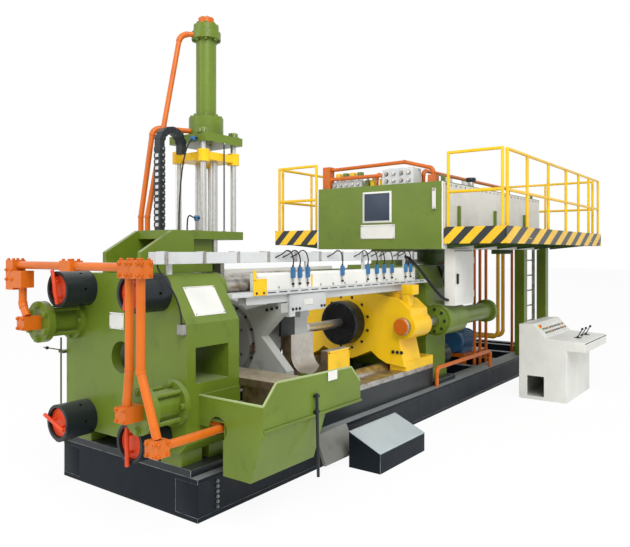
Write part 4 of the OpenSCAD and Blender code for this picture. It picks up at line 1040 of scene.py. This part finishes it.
rod = paint(pin((SHEAR_X, GUIDE_ROD_Y, housing_top), (SHEAR_X, GUIDE_ROD_Y, 3.215), 0.014), black)
rod_nuts = [pin((SHEAR_X, GUIDE_ROD_Y, z), (SHEAR_X, GUIDE_ROD_Y, z + ROD_NUT_HEIGHT), 0.03, 0.002, 6)
            for z in (housing_top, 3.196)]
assemble("shear_guide_rod", [rod] + painted(rod_nuts, steel), "root")
print("sensors and guide rod at the shear")

# %% [markdown]
# ## Drag chain
# The chain is one solid loop. A row of pins and pale windows between its links make it read as a chain,
# without modelling every link.

# %% Pins and windows of the drag chain
CHAIN_PIN_X, CHAIN_PINS = -0.195, 13
CHAIN_WINDOW_Y, CHAIN_WINDOWS = -0.02, 12
chain_face, chain_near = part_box("drag_chain")[0].xy

chain_pins = row_seats((CHAIN_PIN_X, chain_near, 2.404), (CHAIN_PIN_X, chain_near, 3.1),
                       CHAIN_PINS, NEAR, 0.02)
spread(cap_screw, "chain_pins", chain_pins, "root", steel)
chain_window = sink(block((-0.0215, -0.016, 0.0), (0.0215, 0.016, 0.0015), 0.0006), UP, 0.003, 0.001)
window_seats = row_seats((chain_face, CHAIN_WINDOW_Y, 2.401), (chain_face, CHAIN_WINDOW_Y, 3.039),
                         CHAIN_WINDOWS, FRONT, 1.0)
spread(chain_window, "chain_windows", window_seats, "root", light_grey)
drop_templates(chain_window)
print(len(chain_pins), "pins and", len(window_seats), "windows on the chain")

# %% [markdown]
# ## Limit switches
# Each limit switch has a roller arm below it, which the passing ram trips, a lid and a cable gland.
# They are modelled once, round the foot of a switch, and copied to every switch on the near beam.

# %% Switch arms
SWITCH_X = [0.86, 0.97, 1.1, 1.73, 2.26, 2.46, 2.63, 2.82, 3.17, 3.3]
SWITCH_MIDDLE, SWITCH_Y = 0.021, -0.735
switch_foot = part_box("limit_switches")[0].z

arm_bar = paint(block((-0.008, -0.004, -0.06), (0.008, 0.004, 0.004), 0.002), steel)
arm_roller = paint(pin((0, -0.012, -0.056), (0, 0.008, -0.056), 0.026, 0.003, 16), black_rubber)
lid_block = block((-0.017, -0.022, 0.012), (0.017, -0.014, 0.098), 0.002)
switch_lid = paint(sink(lid_block, NEAR, 0.004, 0.002), blue)
switch_gland = paint(pin((0, 0, 0.106), (0, 0, 0.13), 0.022, 0.002, 6), black)
arm_pieces = [arm_bar, arm_roller, switch_lid, switch_gland]
switch_arm = assemble("switch_arm_template", arm_pieces, "root")
arm_seats = [Matrix.Translation((x + SWITCH_MIDDLE, SWITCH_Y, switch_foot)) for x in SWITCH_X]
spread(switch_arm, "switch_arms", arm_seats, "root")
drop_templates(switch_arm)
print(len(arm_seats), "switch arms")

# %% [markdown]
# ## Switch leads
# The cable of each switch rises in a small loop and goes over to the tray. The leads of the solids lie
# flatter, so they are deleted from the dressed copy, by their place. A curve through five knots, given a
# thickness and turned into a mesh, takes their place.

# %% Loops of the switch leads
LEAD_ROUTE = [(0.021, -0.735, 2.0), (0.02, -0.738, 2.09), (-0.035, -0.722, 2.165), (-0.1, -0.685, 2.125),
              (-0.15, -0.645, 2.095)]
LEAD_THICK = 0.013
FIRST_LEAD_X, LAST_LEAD_X = 0.5, 3.34
HOSE_X, HOSE_ALONE_X, HOSE_Y = 3.305, 3.33, -0.7
lead_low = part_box("limit_switches")[1].z


def model_lead(route, thickness):
    deselect()
    bpy.ops.curve.primitive_bezier_curve_add(enter_editmode=True)
    bpy.ops.curve.select_all(action="SELECT")
    bpy.ops.curve.subdivide(number_cuts=len(route) - 2)
    bpy.ops.curve.handle_type_set(type="AUTOMATIC")
    bpy.ops.object.mode_set(mode="OBJECT")
    lead = bpy.context.active_object
    for knot, place in zip(lead.data.splines[0].bezier_points, route):
        knot.co = place
        knot.radius = 1
    lead.data.bevel_depth = thickness / 2
    lead.data.bevel_resolution = 2
    lead.data.resolution_u = 6
    lead.data.use_fill_caps = True
    bpy.ops.object.convert(target="MESH")
    return bpy.context.active_object


def on_switch_lead(spot):
    on_hose = spot.x > HOSE_X and (spot.y > HOSE_Y or spot.x > HOSE_ALONE_X)
    return spot.z > lead_low and FIRST_LEAD_X < spot.x < LAST_LEAD_X and not on_hose


plain_leads = dressed["cable_leads"]
clear_picks(plain_leads, "VERT")
for vertex in plain_leads.data.vertices:
    vertex.select = on_switch_lead(vertex.co)
bpy.ops.object.mode_set(mode="EDIT")
bpy.ops.mesh.delete(type="VERT")
bpy.ops.object.mode_set(mode="OBJECT")
lead = model_lead(LEAD_ROUTE, LEAD_THICK)
lead_seats = [Matrix.Translation((x, 0, 0)) for x in SWITCH_X]
spread(lead, "switch_leads", lead_seats, "root", finish["black_rubber"])
drop_templates(lead)
print(len(lead_seats), "switch leads")

# %% [markdown]
# ## Along the beam's edge
# A row of slots runs along the beam's upper edge, a yellow flag marks its front end, and bent clamps hold the
# cable tray. A slot is a thin dark strip on the face, which paints the shade inside a cut: a cut would look
# the same from here.

# %% Slots, flags and clamps along the beam
SLOT_START, SLOT_PITCH, SLOT_LENGTH, SLOTS = 0.3, 0.17, 0.12, 20
FLAG_Y, STRIP_FLAG_Y = -0.763, -0.724
COVER_ROW_Z, COVER_ROW_BOLTS = 1.81, 14
CLAMP_START, CLAMP_PITCH, CLAMPS = -0.65, 0.42, 11
TRAY_Y = -0.6
cover_near, cover_far = [corner.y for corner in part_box("beam_covers")]
tray_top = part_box("cable_tray")[1].z

slot_starts = [SLOT_START + step * SLOT_PITCH for step in range(SLOTS)]
# Each slot is a dark strip of painted shade in place of a cut
slot_shade_strips = [block((x, -0.7612, 1.762), (x + SLOT_LENGTH, -0.7596, 1.772), 0.0007) for x in slot_starts]
assemble("beam_slots", painted(slot_shade_strips, black_rubber), "root")

flag_pieces = [rimmed_plate((0.36, FLAG_Y, 1.823), (0.186, 0.006, 0.155), NEAR, 0.006, yellow),
               rimmed_plate((0.287, FLAG_Y, 1.93), (0.04, 0.006, 0.1), NEAR, 0.006, yellow),
               rimmed_plate((1.207, STRIP_FLAG_Y, 1.86), (0.018, 0.008, 0.118), NEAR, 0.003, yellow)]
flag_bolts = row_seats((0.31, FLAG_Y - 0.003, 1.77), (0.41, FLAG_Y - 0.003, 1.77), 2, NEAR, 0.018)
flag_pieces += copies_of(hex_bolt, flag_bolts, black)
assemble("beam_flags", flag_pieces, "root")

cover_bolts = []
for y, out in ((cover_near, NEAR), (cover_far, FAR)):
    cover_bolts += row_seats((0.45, y, COVER_ROW_Z), (3.42, y, COVER_ROW_Z), COVER_ROW_BOLTS, out, 0.018)
spread(hex_bolt, "cover_bolts", cover_bolts, "root", steel)

clamp = paint(block((-0.018, -0.056, -0.004), (0.018, 0.056, 0.006), 0.002), steel)
clamp_side = paint(block((-0.018, -0.056, -0.1), (0.018, -0.0505, 0.0), 0.001), steel)
tray_clamp = assemble("tray_clamp_template", [clamp, clamp_side], "root")
clamp_seats = [Matrix.Translation((CLAMP_START + CLAMP_PITCH * step, TRAY_Y, tray_top))
               for step in range(CLAMPS)]
spread(tray_clamp, "tray_clamps", clamp_seats, "root")
drop_templates(tray_clamp)
print(len(slot_shade_strips), "slots and", len(clamp_seats), "tray clamps")

# %% [markdown]
# ## Billet loader
# The loader hangs from the beam by its bolted cheek, and a yellow guard covers the near side of its
# trough. The guard is a rimmed plate, a little in front of the trough.

# %% Guard, bolts and plate on the loader
GUARD_X, GUARD_Z = 1.3375, 1.03
trough_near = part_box("loader_trough")[0].y
loader_front, loader_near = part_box("loader_carriage")[0].xy

guard = rimmed_plate((GUARD_X, trough_near - 0.003, GUARD_Z), (0.385, 0.006, 0.235), NEAR, 0.012, yellow)
guard_bolts = corner_seats((GUARD_X, trough_near - 0.006, GUARD_Z), BACK, UP, 0.18, 0.105, NEAR, 0.016)
assemble("trough_guard", [guard] + copies_of(hex_bolt, guard_bolts, black), "root")

loader_bolts = row_seats((0.865, loader_near, 1.585), (0.973, loader_near, 1.585), 3, NEAR, 0.024)
loader_bolts += row_seats((1.345, loader_near, 1.59), (1.395, loader_near, 1.59), 2, NEAR, 0.024)
loader_bolts += row_seats((loader_front, -0.7, 1.6), (loader_front, -0.56, 1.6), 3, FRONT, 0.022)
spread(hex_bolt, "loader_bolts", loader_bolts, "root", black)
loader_plate = rimmed_plate((1.12, loader_near - 0.002, 1.645), (0.15, 0.004, 0.06), NEAR, 0.004, plate_white,
                            depth=0.001)
assemble("loader_plate", [loader_plate], "root")
print(len(loader_bolts), "bolts and a guard on the loader")

# %% [markdown]
# ## Loader brace
# A brace runs down from the loader's cheek to the trough, painted black for the shade under the loader's
# front block. It starts as a block, and its lower face is made narrower towards the back, which slants the
# front edge.

# %% Brace behind the loader's cheek
BRACE_FRONT, BRACE_BACK = 0.945, 1.17
BRACE_NEAR, BRACE_FAR = -0.53, -0.499
BRACE_FOOT, BRACE_TOP = 1.287, 1.557
BRACE_FOOT_SHARE = 0.8
BRACE_BOLT_Z = 1.525

brace = block((BRACE_FRONT, BRACE_NEAR, BRACE_FOOT), (BRACE_BACK, BRACE_FAR, BRACE_TOP), 0.004)
# Black paints the shade under the loader's front block
pick_faces(paint(brace, black), DOWN)
bpy.ops.transform.resize(value=(BRACE_FOOT_SHARE, 1, 1), center_override=(BRACE_BACK, -0.515, BRACE_FOOT))
bpy.ops.object.mode_set(mode="OBJECT")
brace_bolts = row_seats((1.0, BRACE_NEAR, BRACE_BOLT_Z), (1.13, BRACE_NEAR, BRACE_BOLT_Z), 3, NEAR, 0.02)
assemble("loader_brace", [brace] + copies_of(hex_bolt, brace_bolts, steel), "root")
print("brace with", len(brace_bolts), "bolts")

# %% [markdown]
# ## Container fittings
# A roller between two ends sits on the front of the container's carriage, beside a clip, and bolts hold
# the arms. All of them ride on the container.

# %% Roller and clip on the container
ROLLER_X, ROLLER_Z, ROLLER_Y = 0.652, 0.945, (-0.5, -0.72)
ARM_FACE_X = 0.69

roller = paint(pin(*[(ROLLER_X, y, ROLLER_Z) for y in ROLLER_Y], 0.062, 0.006, 28), black)
roller_ends = [block((0.64, y - 0.012, ROLLER_Z - 0.03), (0.692, y + 0.012, ROLLER_Z + 0.03), 0.004)
               for y in ROLLER_Y]
clip = paint(block((0.673, -0.41, 1.15), (ARM_FACE_X, -0.34, 1.22)), finish["tool_steel"])
arm_bolts = []
for side in (-1, 1):
    arm_bolts += row_seats((ARM_FACE_X, side * 0.56, 1.58), (ARM_FACE_X, side * 0.69, 1.61), 3, FRONT, 0.026)
    arm_bolts += row_seats((ARM_FACE_X, side * 0.64, 0.81), (ARM_FACE_X, side * 0.78, 0.81), 3, FRONT, 0.03)
container_pieces = [roller, clip] + painted(roller_ends, grey) + copies_of(hex_bolt, arm_bolts, black)
assemble("container_fittings", container_pieces, "container")
print(len(container_pieces), "fittings on the container")

# %% [markdown]
# ## Striker and rod caps
# The yellow crosshead carries a striker that passes the switches as the ram travels. Turned caps close
# the ends of the side rods. Both ride on the ram.

# %% Striker arm and rod caps on the ram
CAP_THICK, CAP_WIDTH = 0.01, 0.19
rod_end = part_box("side_rod_ends")[0].x

striker = [block((2.95, -0.91, 1.47), (3.08, -0.81, 1.64), 0.01),
           block((2.94, -0.975, 1.62), (3.1, -0.805, 1.745), 0.014)]
assemble("striker_arm", painted(striker, yellow), "ram")
end_caps = []
for y in (-SIDE_ROD_Y, SIDE_ROD_Y):
    end_cap = pin((rod_end, y, AXIS_Z), (rod_end - CAP_THICK, y, AXIS_Z), CAP_WIDTH, 0.004, 32)
    end_caps.append(paint(sink(end_cap, FRONT, 0.012, 0.003), orange))
assemble("side_rod_caps", end_caps, "ram")
print("striker and rod caps on the ram")

# %% [markdown]
# ## Pump motors
# An electric motor is known by its cooling fins, fan cowl and terminal box. One fin is modelled and set
# round each motor, and the cowl's grille is an inset face pushed in.

# %% Fins, cowls and terminal boxes
MOTOR_X, MOTOR_Z, MOTOR_Y = 6.06, 0.665, (-0.21, 0.21)
FINS, FIN_RADIUS = 26, 0.163


def fin_seat(y, step):
    angle = 2 * math.pi * step / FINS
    out = Vector((0, math.cos(angle), math.sin(angle)))
    turn = Matrix.Rotation(angle - math.pi / 2, 4, "X")
    return Matrix.Translation(Vector((MOTOR_X, y, MOTOR_Z)) + out * FIN_RADIUS) @ turn


fin = block((-0.2, -0.003, -0.008), (0.2, 0.003, 0.02), 0.0015)
motor_pieces = []
for y in MOTOR_Y:
    motor_pieces += copies_of(fin, [fin_seat(y, step) for step in range(FINS)])
    cowl = pin((5.74, y, MOTOR_Z), (5.85, y, MOTOR_Z), 0.345, 0.012, 40)
    terminals = block((MOTOR_X - 0.08, y - 0.07, 0.815), (MOTOR_X + 0.08, y + 0.07, 0.9), 0.006)
    shield = pin((6.3, y, MOTOR_Z), (6.335, y, MOTOR_Z), 0.36, 0.008, 40)
    motor_pieces += [sink(cowl, FRONT, 0.03, 0.012), sink(terminals, UP, 0.012, -0.008),
                     sink(shield, BACK, 0.03, 0.01)]
drop_templates(fin)
assemble("motor_fittings", painted(motor_pieces, blue), "root")
print(len(motor_pieces), "pieces on the motors")

# %% [markdown]
# ## Suction flange
# The suction pipes leave the tank through a bolted flange on its underside: a block with its lower face
# sunk, and a row of bolts along its near side.

# %% Flange of the suction pipes
FLANGE_NEAR, FLANGE_BOLT_Z = -0.68, 2.15
tank_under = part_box("oil_tank")[0].z

flange_block = block((6.66, FLANGE_NEAR, 2.114), (7.28, -0.52, tank_under), 0.008)
suction_block = paint(sink(flange_block, DOWN, 0.02, 0.004), finish["dark_green_paint"])
flange_row = [(x, FLANGE_NEAR, FLANGE_BOLT_Z) for x in (6.69, 7.25)]
flange_bolts = row_seats(*flange_row, 8, NEAR, 0.026)
suction_pieces = [suction_block] + copies_of(hex_bolt, flange_bolts, black)
assemble("suction_flange", suction_pieces, "root")
print("suction flange with", len(flange_bolts), "bolts")

# %% [markdown]
# ## Operator console
# The operator stands at a sloped panel of push buttons with levers on the desk below it. A button is a
# bezel with a cap; one of each is modelled and copied in rows over the panel, in groups of one colour.

# %% Panel, buttons and stop
PANEL_ACROSS, PANEL_UP = 0.689, 0.725
PANEL_FOOT = Vector((0, -1.87, 0.9))
CONSOLE_X = 5.95
BUTTON_ROWS = (0.085, 0.15)
STOP_X, STOP_ALONG, STOP_BASE = 5.42, 0.2, 1.8
BUTTONS = {"green": (green_lens, [5.48, 5.56, 6.2]), "red": (red_enamel, [5.64, 6.28]),
           "yellow": (yellow, [5.72, 6.36]), "black": (black_rubber, [5.8, 5.9, 6.0, 6.1, 6.44])}
panel_along = Vector((0, PANEL_ACROSS, PANEL_UP))
panel_out = Vector((0, -PANEL_UP, PANEL_ACROSS))
panel_turn = (math.atan2(PANEL_UP, PANEL_ACROSS), 0, 0)


def panel_point(x, along, lift):
    return PANEL_FOOT + panel_along * along + Vector((x, 0, 0)) + panel_out * lift


def panel_seat(x, along, size=1.0):
    return seat(panel_point(x, along, 0.003), panel_out, size)


panel_mid = panel_point(CONSOLE_X, 0.139, 0.001)
console_panel = rimmed_plate(panel_mid, (1.16, 0.21, 0.008), panel_out, 0.008, white, panel_turn)
assemble("console_panel", [console_panel], "root")
bezel = pin((0, 0, 0), (0, 0, 0.008), 0.036)
button = sink(pin((0, 0, 0.007), (0, 0, 0.018), 0.026, 0.003), UP, 0.004, 0.001)
for colour, (material, places) in BUTTONS.items():
    seats = [panel_seat(x, along) for x in places for along in BUTTON_ROWS]
    pieces = copies_of(bezel, seats, steel) + copies_of(button, seats, material)
    assemble("console_buttons_" + colour, pieces, "root")
    print(len(seats), colour, "buttons")
stop_head = pin((0, 0, 0.01), (0, 0, 0.034), 0.044, 0.01, 24)
stop_pieces = copies_of(bezel, [panel_seat(STOP_X, STOP_ALONG, STOP_BASE)], yellow)
stop_pieces += copies_of(stop_head, [panel_seat(STOP_X, STOP_ALONG)], red_enamel)
assemble("console_stop", stop_pieces, "root")
drop_templates(bezel, button, stop_head)

# %% [markdown]
# ## Levers, desk and back
# One lever of the console moves and comes from the solids. The two beside it are fixed and are modelled
# from turned pins. A rubber bead runs along the desk's edge, and a panel with louvres closes the back.

# %% Fixed levers, desk edge and back panel
LEVER_X, LEVER_Y = (5.78, 6.24), -2.18
BEAD_Y, BEAD_Z = -2.39, 0.862
LOUVRES, LOUVRE_START, LOUVRE_PITCH, LOUVRE_TILT = 6, 0.36, 0.03, 0.5
LATCH_X, LATCH_Z = 6.28, 0.6
DESK_Z = 0.8887
console_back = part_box("console")[1].y

lever_pieces = []
for x in LEVER_X:
    shaft = pin((x, LEVER_Y, DESK_Z + 0.01), (x, LEVER_Y - 0.06, DESK_Z + 0.125), 0.014)
    knob = pin((x, LEVER_Y - 0.056, DESK_Z + 0.115), (x, LEVER_Y - 0.072, DESK_Z + 0.147), 0.034, 0.012)
    pivot = pin((x - 0.022, LEVER_Y, DESK_Z + 0.014), (x + 0.022, LEVER_Y, DESK_Z + 0.014), 0.03, 0.003)
    boot = sink(pin((x, LEVER_Y, 0.884), (x, LEVER_Y, 0.893), 0.11, 0.003, 28), UP, 0.02, 0.003)
    lever_pieces += painted([shaft, pivot], black) + painted([knob, boot], black_rubber)
assemble("console_levers_fixed", lever_pieces, "root")

edge_bead = paint(pin((5.315, BEAD_Y, BEAD_Z), (6.585, BEAD_Y, BEAD_Z), 0.024, 0.004), black_rubber)
back_panel = rimmed_plate((CONSOLE_X, console_back + 0.002, 0.55), (0.8, 0.006, 0.6), FAR, 0.01, white)
louvres = []
for step in range(LOUVRES):
    louvre_mid = (CONSOLE_X, console_back + 0.006, LOUVRE_START + LOUVRE_PITCH * step)
    louvres.append(block_at(louvre_mid, (0.4, 0.006, 0.014), 0.002, (LOUVRE_TILT, 0, 0)))
latch = pin((LATCH_X, console_back, LATCH_Z), (LATCH_X, console_back + 0.016, LATCH_Z), 0.036, 0.003)
trim_pieces = [edge_bead, back_panel, paint(latch, black)] + painted(louvres, grey)
assemble("console_trim", trim_pieces, "root")
print("levers, edge bead and back panel on the console")

# %% [markdown]
# ## Cabinet door
# The handle and its lock are shaped from a block and a pin. They ride on the door and swing with it.

# %% Handle on the cabinet door
DOOR_FACE = -1.1005
HANDLE_X, LOCK_Z = 3.94, 1.84

handle = paint(block_at((HANDLE_X, DOOR_FACE - 0.015, 1.79), (0.03, 0.03, 0.14), 0.008), black)
lock = pin((HANDLE_X, DOOR_FACE - 0.028, LOCK_Z), (HANDLE_X, DOOR_FACE - 0.036, LOCK_Z), 0.02, 0.002, 14)
assemble("cabinet_door_trim", [handle, paint(lock, steel)], "door")
print("cabinet door dressed")

# %% [markdown]
# ## Railing feet
# The posts of the railing stand on welded feet with two bolts each. One foot is modelled with its
# bolts and copied to every post, turned by a quarter at the end of the deck.

# %% Feet under the railing posts
POST_X = [3.83, 4.59, 5.53, 6.45, 7.19, 7.87, 8.55]
POST_Y = 1.83
END_POST_X, END_POST_START, END_POST_PITCH = 8.58, -1.73, 0.865
deck_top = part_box("platform_deck")[1].z

foot_plate = sink(block((-0.055, -0.045, 0), (0.055, 0.045, 0.012), 0.002), UP, 0.012, -0.002)
foot_bolts = copies_of(hex_bolt, [seat((x, 0, 0.012), UP, 0.02) for x in (-0.038, 0.038)], steel)
post_foot = assemble("post_foot_template", [paint(foot_plate, yellow)] + foot_bolts, "root")
foot_seats = [Matrix.Translation((x, y, deck_top)) for x in POST_X for y in (-POST_Y, POST_Y)]
quarter_turn = Matrix.Rotation(math.pi / 2, 4, "Z")
for step in (1, 2, 3):
    end_post = (END_POST_X, END_POST_START + END_POST_PITCH * step, deck_top)
    foot_seats.append(Matrix.Translation(end_post) @ quarter_turn)
spread(post_foot, "railing_feet", foot_seats, "root")
drop_templates(post_foot)
print(len(foot_seats), "railing feet")

# %% [markdown]
# ## Die tray
# The edge of the tray's sheet is rolled, so thin pins follow it from corner to corner, in a lighter green
# that paints the highlight along it. Old boards lie on the floor of the tray, and a rod hangs at its near
# side.

# %% Rim, boards and rod on the die tray
RIM_Y, RIM_WIDTH = -1.526, 0.02
RIM_POINTS = [(-0.47, 0.99), (-0.315, 1.148), (0.72, 1.12), (0.87, 0.97)]
END_RIM_X, END_RIM_Z = -0.464, 0.99
# Low and high corner of each board on the tray's floor
BOARDS = (((-0.41, -1.47, 0.813), (-0.3, -0.9, 0.845)), ((-0.27, -1.44, 0.813), (-0.15, -0.92, 0.838)),
          ((0.41, -1.46, 0.813), (0.54, -0.88, 0.85)), ((0.57, -1.42, 0.813), (0.68, -0.9, 0.84)),
          ((0.7, -1.3, 0.813), (0.8, -1.0, 0.9)), ((0.42, -1.3, 0.85), (0.52, -1.1, 0.93)))
ROD_Y, ROD_CLIPS_Z = -1.555, (0.82, 0.95)

rim_knots = [(x, RIM_Y, z) for x, z in RIM_POINTS]
rims = [pin(a, b, RIM_WIDTH, 0.003, 14) for a, b in zip(rim_knots, rim_knots[1:])]
rims.append(pin((END_RIM_X, -1.53, END_RIM_Z), (END_RIM_X, -0.84, END_RIM_Z), RIM_WIDTH, 0.003, 14))
tray_lip = block((-0.47, -1.55, 0.792), (0.87, -1.536, 0.812))
tray_plate = rimmed_plate((0.418, -1.54, 1.092), (0.135, 0.005, 0.08), NEAR, 0.006, plate_white, depth=0.001)
# The rims get the lighter green of the painted highlight
rim_pieces = painted(rims, lit_rim_green) + [paint(sink(tray_lip, NEAR, 0.004, -0.003), green), tray_plate]
assemble("tray_rims", rim_pieces, "root")

boards = [sink(block(low, high, 0.006), UP, 0.012, 0.003) for low, high in BOARDS]
assemble("tray_boards", painted(boards, board_brown), "root")

rod_pieces = [pin((0.17, ROD_Y, 0.985), (0.19, ROD_Y, 0.29), 0.026, 0.003)]
rod_pieces += [block((0.15, -1.57, z), (0.195, -1.53, z + 0.024)) for z in ROD_CLIPS_Z]
assemble("tray_rod", painted(rod_pieces, black), "root")
print(len(rim_pieces), "rims and plates and", len(boards), "boards in the tray")

# %% [markdown]
# ## Base covers
# Plain plates close the sides and the front corners of the base. They lie just inside its outline, in
# front of its ribs, and a row of bolts marks a joint.

# %% Covers and bolts on the base
COVER_FOOT, COVER_TOP = 0.04, 0.305
COVER_OUTER, COVER_INNER, END_COVER_INNER = 0.929, 0.922, 0.67
COVER_BOLTS_X = -0.35
base_front, base_end = [corner.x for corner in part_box("base_frame")]

covers = []
for side in (-1, 1):
    near, far = sorted((side * COVER_OUTER, side * COVER_INNER))
    covers.append(block((base_front + 0.002, near, COVER_FOOT), (base_end - 0.002, far, COVER_TOP), 0.002))
    near, far = sorted((side * COVER_OUTER, side * END_COVER_INNER))
    covers.append(block((base_front + 0.001, near, COVER_FOOT), (base_front + 0.007, far, COVER_TOP), 0.002))
base_covers = [paint(sink(cover, NEAR, 0.004, 0.0005), frame_black) for cover in covers]
cover_row = [(COVER_BOLTS_X, -COVER_OUTER, z) for z in (0.07, 0.28)]
base_covers += copies_of(hex_bolt, row_seats(*cover_row, 6, NEAR, 0.024), worn_edge)
assemble("base_covers", base_covers, "root")
print(len(base_covers), "covers and bolts on the base")

# %% [markdown]
# ## Hand lever
# A thin pole with a hand bar stands at the far front corner, on a small foot. Turned pins make the pole,
# the bar and its knob.

# %% Hand lever at the far front corner
POLE_X, POLE_Y = -0.62, 0.9
base_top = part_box("base_frame")[1].z

pole = pin((POLE_X, POLE_Y, base_top), (POLE_X, POLE_Y, 1.335), 0.016, 0.002, 14)
pole_foot = sink(block((-0.66, 0.87, base_top), (-0.56, 0.928, base_top + 0.015)), UP, 0.01, -0.002)
pole_clip = block((-0.64, 0.836, 1.19), (-0.55, 0.915, 1.215), 0.004)
hand_bar = pin((-0.8, POLE_Y, 1.262), (-0.56, POLE_Y, 1.2), 0.012, 0.002, 12)
hand_knob = pin((-0.775, POLE_Y, 1.2555), (-0.75, POLE_Y, 1.249), 0.03, 0.006, 14)
lever_set = painted([pole, pole_foot, pole_clip], finish["dark_green_paint"])
lever_set += [paint(hand_bar, steel), paint(hand_knob, black)]
assemble("front_hand_lever", lever_set, "root")
print("hand lever stands")

# %% [markdown]
# ## Step tread
# The sloped top of the step is covered by a grey plate with a raised rim, turned by the slope's rise and
# run.

# %% Tread on the step
TREAD_RISE, TREAD_RUN = 0.163, 0.365
TREAD_MIDDLE = (1.719, -1.3325, 0.2775)
TREAD_OUT = (0, -0.408, 0.913)

tread_turn = (math.atan2(TREAD_RISE, TREAD_RUN), 0, 0)
tread = rimmed_plate(TREAD_MIDDLE, (0.93, 0.4, 0.005), TREAD_OUT, 0.012, tread_grey, tread_turn, 0.001)
assemble("step_tread", [tread], "root")
drop_templates(cap_screw, hex_bolt)
print("step tread laid")
